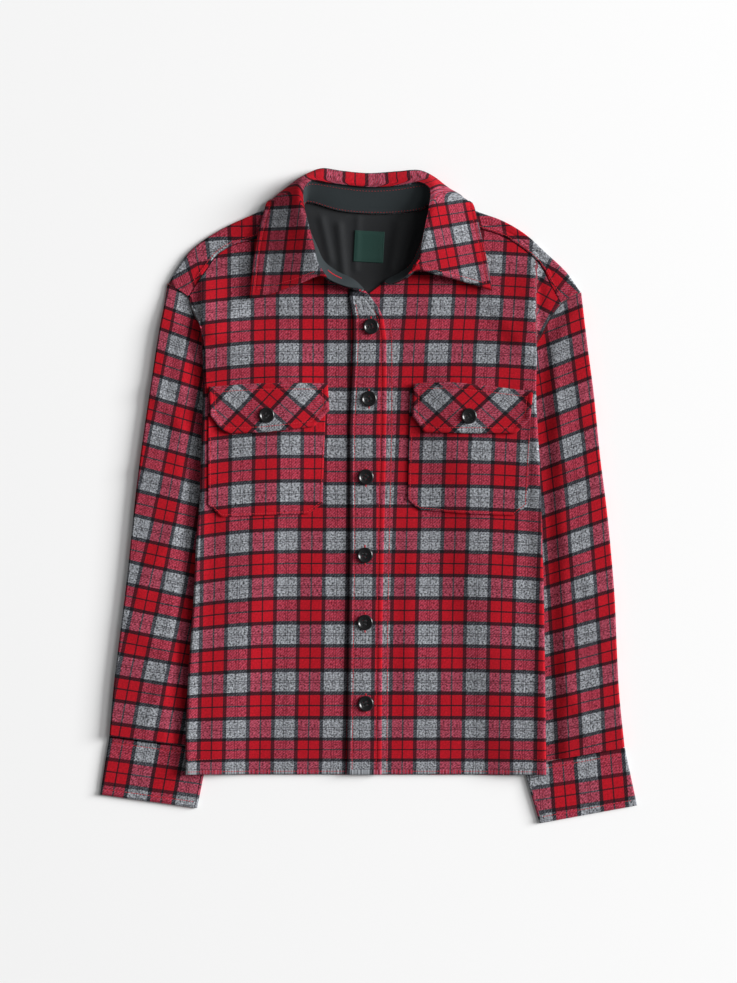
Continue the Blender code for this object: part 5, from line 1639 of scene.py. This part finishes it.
def welded_piece(name, points, quads, material, weld=0.0):
    """A mesh in metres from points in millimetres, its doubles merged and its normals turned outward."""
    mesh = bpy.data.meshes.new(name)
    mesh.from_pydata((points * MM).tolist(), [], quads.tolist())
    if weld:
        form = bmesh.new()
        form.from_mesh(mesh)
        bmesh.ops.remove_doubles(form, verts=form.verts, dist=weld * MM)
        bmesh.ops.recalc_face_normals(form, faces=form.faces)
        form.to_mesh(mesh)
        form.free()
    mesh.materials.append(material)
    mesh.shade_smooth()
    piece = bpy.data.objects.new(name, mesh)
    bpy.context.scene.collection.objects.link(piece)
    return piece


button_points, button_quads = button_surface()
print("button", len(button_points), "points")

# %% Button finish
button_material, tree, shader = new_material("black_button", 0.3, 0.0, 0.4)
shader.inputs["Coat Weight"].default_value = 0.15
shader.inputs["Coat Roughness"].default_value = 0.12
place = tree.nodes.new("ShaderNodeTexCoord")
scuffs = noise(tree, place.outputs["Object"], 700.0, 4.0, 0.65)
link(tree, mix_colours(tree, scuffs, (0.003, 0.003, 0.0035, 1.0), (0.008, 0.008, 0.009, 1.0)),
     shader.inputs["Base Color"])
link(tree, math_node(tree, "MULTIPLY_ADD", scuffs, 0.2, 0.2), shader.inputs["Roughness"])
bump(tree, shader, noise(tree, place.outputs["Object"], 260.0, 2.0, 0.4), 0.12, 0.0001)
thread_black, tree, shader = new_material("black_thread", 0.8, 0.2, 0.3)
place = tree.nodes.new("ShaderNodeTexCoord")
strands = noise(tree, place.outputs["Object"], 3000.0, 2.0, 0.5)
link(tree, mix_colours(tree, strands, (0.008, 0.008, 0.009, 1.0), (0.03, 0.03, 0.033, 1.0)),
     shader.inputs["Base Color"])
bump(tree, shader, strands, 0.3, 0.0001)
print("materials", button_material.name, thread_black.name)

# %% Sew the buttons on
THREAD_RADIUS = 0.3
THREAD_SPACING = 0.28


def thread_bars(place, level, turn):
    """Two pairs of threads from hole to hole, each a round arch 0.3 + 0.62 · sin(pi t)^0.5 high."""
    t = np.linspace(0.0, 1.0, 13)[:, None]
    a = np.arange(8) * math.tau / 8
    grids = []
    for offset in (-HOLE_OFFSET, HOLE_OFFSET):
        for beside in (-THREAD_SPACING, THREAD_SPACING):
            run = (2 * t - 1) * (HOLE_OFFSET + 0.1)
            lift = 0.3 + 0.62 * np.sin(np.pi * t) ** 0.5
            x = offset + beside + THREAD_RADIUS * np.cos(a) + 0 * t
            y = run + 0 * a
            z = 1.25 + lift + THREAD_RADIUS * np.sin(a)
            c, s = math.cos(turn), math.sin(turn)
            grids.append(np.dstack([place[0] + x * c - y * s, place[1] + x * s + y * c, level + z]))
    return joined(grids)


def add_button(name, node, place, level, turn):
    """A button turned a little on its thread, on the cloth below it."""
    base = float(lie(*place)) + level + GAP
    c, s = math.cos(turn), math.sin(turn)
    spun = button_points @ np.array([[c, s, 0.0], [-s, c, 0.0], [0.0, 0.0, 1.0]])
    piece = welded_piece(name, spun + [place[0], place[1], base], button_quads, button_material, 0.01)
    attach(piece, "root")
    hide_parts(node)
    thread = welded_piece(name + "_thread", *thread_bars(place, base, turn), thread_black)
    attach(thread, "root")


for number, place in enumerate(BUTTONS_ON_BAND, start=1):
    add_button("band_button_{}".format(number), "button_{}".format(number), place, BAND_TOP, 0.3 * number)
for side, sign in SIDES.items():
    add_button("flap_top_button_" + side, "flap_button_" + side, BUTTONS_ON_FLAPS[side], FLAP_TOP, 0.7 * sign)
print("buttons sewn on", len(BUTTONS_ON_BAND) + 2)

# %% [markdown]
# ## Topstitching
# Red thread holds every edge: small stitches of 2.5 mm, sunk a little in the cloth. A stitch is a closed
# capsule, and a seam is that capsule repeated at even steps along a curve, turned along it, as whole arrays.

# %% Thread
red_thread, tree, shader = new_material("red_thread", 0.6, 0.05, 0.2)
place = tree.nodes.new("ShaderNodeTexCoord")
strands = noise(tree, place.outputs["Object"], 2600.0, 2.0, 0.5)
link(tree, mix_colours(tree, strands, (0.34, 0.004, 0.012, 1.0), (0.66, 0.02, 0.035, 1.0)),
     shader.inputs["Base Color"])
bump(tree, shader, strands, 0.3, 0.0001)

STITCH_PITCH = 3.1
STITCH_LENGTH = 2.5
STITCH_RADIUS = 0.42


def stitch_form():
    """A six-sided capsule: radius · sin(t)^0.6 thick at -cos(t) · half its length, for t from 0 to pi."""
    t = np.linspace(0.0, math.pi, 5)[:, None]
    a = np.arange(6) * math.tau / 6
    radius = STITCH_RADIUS * np.sin(t) ** 0.6
    x = -np.cos(t) * STITCH_LENGTH / 2 + 0 * a
    return np.dstack([x, radius * np.cos(a), 0.8 * radius * np.sin(a)])


def stitch_line(points, pitch=STITCH_PITCH, across=False, size=1.0):
    """Stitches along a 3-D line: centres at even steps, each capsule turned to the line or across it."""
    points = np.asarray(points, float)
    lengths = np.r_[0.0, np.cumsum(np.linalg.norm(np.diff(points, axis=0), axis=1))]
    count = max(int(lengths[-1] / pitch), 1)
    places = (np.arange(count) + 0.5) * lengths[-1] / count
    at = np.column_stack([np.interp(places, lengths, points[:, k]) for k in range(3)])
    before = np.column_stack([np.interp(places - 0.8, lengths, points[:, k]) for k in range(3)])
    after = np.column_stack([np.interp(places + 0.8, lengths, points[:, k]) for k in range(3)])
    way = after - before
    way /= np.maximum(np.linalg.norm(way, axis=1), 1e-9)[:, None]
    side = np.cross([0.0, 0.0, 1.0], way)
    side /= np.maximum(np.linalg.norm(side, axis=1), 1e-9)[:, None]
    over = np.cross(way, side)
    form = stitch_form().reshape(-1, 3) * size
    if across:
        way, side, form = side, -way, form * [0.62, 1.0, 1.0]
    turned = form[None, :, :1] * way[:, None] + form[None, :, 1:2] * side[:, None]
    turned = turned + form[None, :, 2:] * over[:, None]
    return at[:, None] + turned


def stitching(name, lines, pitch=STITCH_PITCH, across=False, size=1.0):
    """One piece of thread from all the stitches on some lines."""
    stitches = np.concatenate([stitch_line(line, pitch, across, size) for line in lines])
    rows, columns = stitch_form().shape[:2]
    quads = grid_quads(rows, columns)
    shifted = quads[None] + (np.arange(len(stitches)) * rows * columns)[:, None, None]
    piece = welded_piece(name, stitches.reshape(-1, 3), shifted.reshape(-1, 4), red_thread, 0.002)
    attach(piece, "root")
    print(name, len(stitches), "stitches")
    return piece


def laid(points, level):
    """A plan line laid on the body at a level."""
    points = along(points, 160, False)
    return np.column_stack([points, lie(points[:, 0], points[:, 1]) + level])


print("points in a stitch", stitch_form()[:, :, 0].size)

# %% Seams on band, fronts, pockets and flaps
ON_TOP = 0.05
# How deep a row of stitches lies in its groove, on the band and on the hem and flaps
BAND_GROOVE = 0.45
GROOVE = 0.42
# Where the band's own stitches end, and where the row beside the band lies and ends
BAND_STITCH_END = 222.0
BESIDE_BAND = 6.0
BESIDE_END = 205.0

over_hem = band_y > HEM_Y + 2
own = over_hem & (band_y < BAND_STITCH_END)
lines = [laid(np.column_stack([x, band_y])[own], BAND_TOP - BAND_GROOVE + ON_TOP)
         for x in (band_left + BAND_INSET, band_right - BAND_INSET)]
beside = np.column_stack([band_right + BESIDE_BAND, band_y])
lines.append(laid(beside[over_hem & (band_y < BESIDE_END)], FRONT_TOP + ON_TOP))
stitching("stitches_on_band", lines)
hem_lines = []
for side in SIDES:
    plan, _ = front_plan(side, np.linspace(0.0, 1.0, 60), np.asarray([0.0, HEM_STITCH, 200.0]) / FRONT_LENGTH)
    hem_lines.append(laid(plan[1], FRONT_TOP - GROOVE))
    hem_lines.append(laid(plan[0] + [0.0, 3.4], FRONT_TOP + 0.1))
stitching("stitches_on_hem", hem_lines)
lines = []
for side in SIDES:
    low = np.asarray(POCKET[side])[:, 2:]
    ends = [(POCKET[side][0][0], 70.0)], [(POCKET[side][-1][0], 70.0)]
    outline = np.vstack([ends[0], low, ends[1]])
    lines.append(laid(moved_aside(along(outline, 120, False), POCKET_INSET), POCKET_TOP - 0.1))
stitching("stitches_on_pockets", lines)
lines = []
for side in SIDES:
    rows = np.asarray(FLAP[side])
    top = moved_aside(along(rows[:, :2], 80, False), -7.0)
    lines.append(laid(top[2:-2], FLAP_TOP - GROOVE))
    outline = along(np.vstack([rows[:1, :2], rows[:, 2:], rows[-1:, :2]]), 160, False)
    lines.append(laid(moved_aside(outline, FLAP_INSET)[4:-4], FLAP_TOP - GROOVE + 0.72 * FLAP_LIFT))
stitching("stitches_on_flaps", lines)

# %% Seams on collar, yoke, cuffs and stand


def across_rows(grid, places):
    """The point of each row at a column number, between its two neighbours."""
    low = np.minimum(places.astype(int), grid.shape[1] - 2)
    part = (places - low)[:, None]
    number = np.arange(len(grid))
    return grid[number, low] * (1 - part) + grid[number, low + 1] * part


leaf_length = np.linalg.norm(np.diff(leaf_face, axis=1), axis=2).sum(axis=1)
places = np.interp(1.0 - 6.0 / leaf_length, LEAF_PLACES, np.arange(leaf_face.shape[1]))
proud = np.array([0.0, 0.0, ON_TOP])
beside_edge = across_rows(leaf_face, places) + proud
fronts_edges = [leaf_face[4, 12:-9], leaf_face[-5, 12:-9]]
stitching("stitches_on_collar", [beside_edge[4:82], beside_edge[-82:-4]] + fronts_edges)
stitching("stitches_on_yoke", [yoke_face[-8, 3:74] + proud, yoke_face[-8, -74:-3] + proud])
lines = [cuff_face[side][row, 2:70] + proud for side in SIDES for row in (7, -8)]
stitching("stitches_on_cuffs", lines)
lines = [stand_face[first:last, row] for first, last, row in STAND_SEAMS]
stitching("stitches_on_stand", lines, 3.4, False, 0.62)

# %% Buttonholes
# A buttonhole is a slot edged with close crosswise stitches. It is a little longer than its button is wide,
# so a short end of it shows above and below
slots = [laid([(x, y - 11.6), (x, y + 11.6)], BAND_TOP + ON_TOP) for x, y in BUTTONS_ON_BAND]
stand_slot = across_rows(stand_face, np.full(STAND_COLUMNS, 9.5))[22:36]
stitching("buttonholes", slots + [stand_slot], 0.6, True)
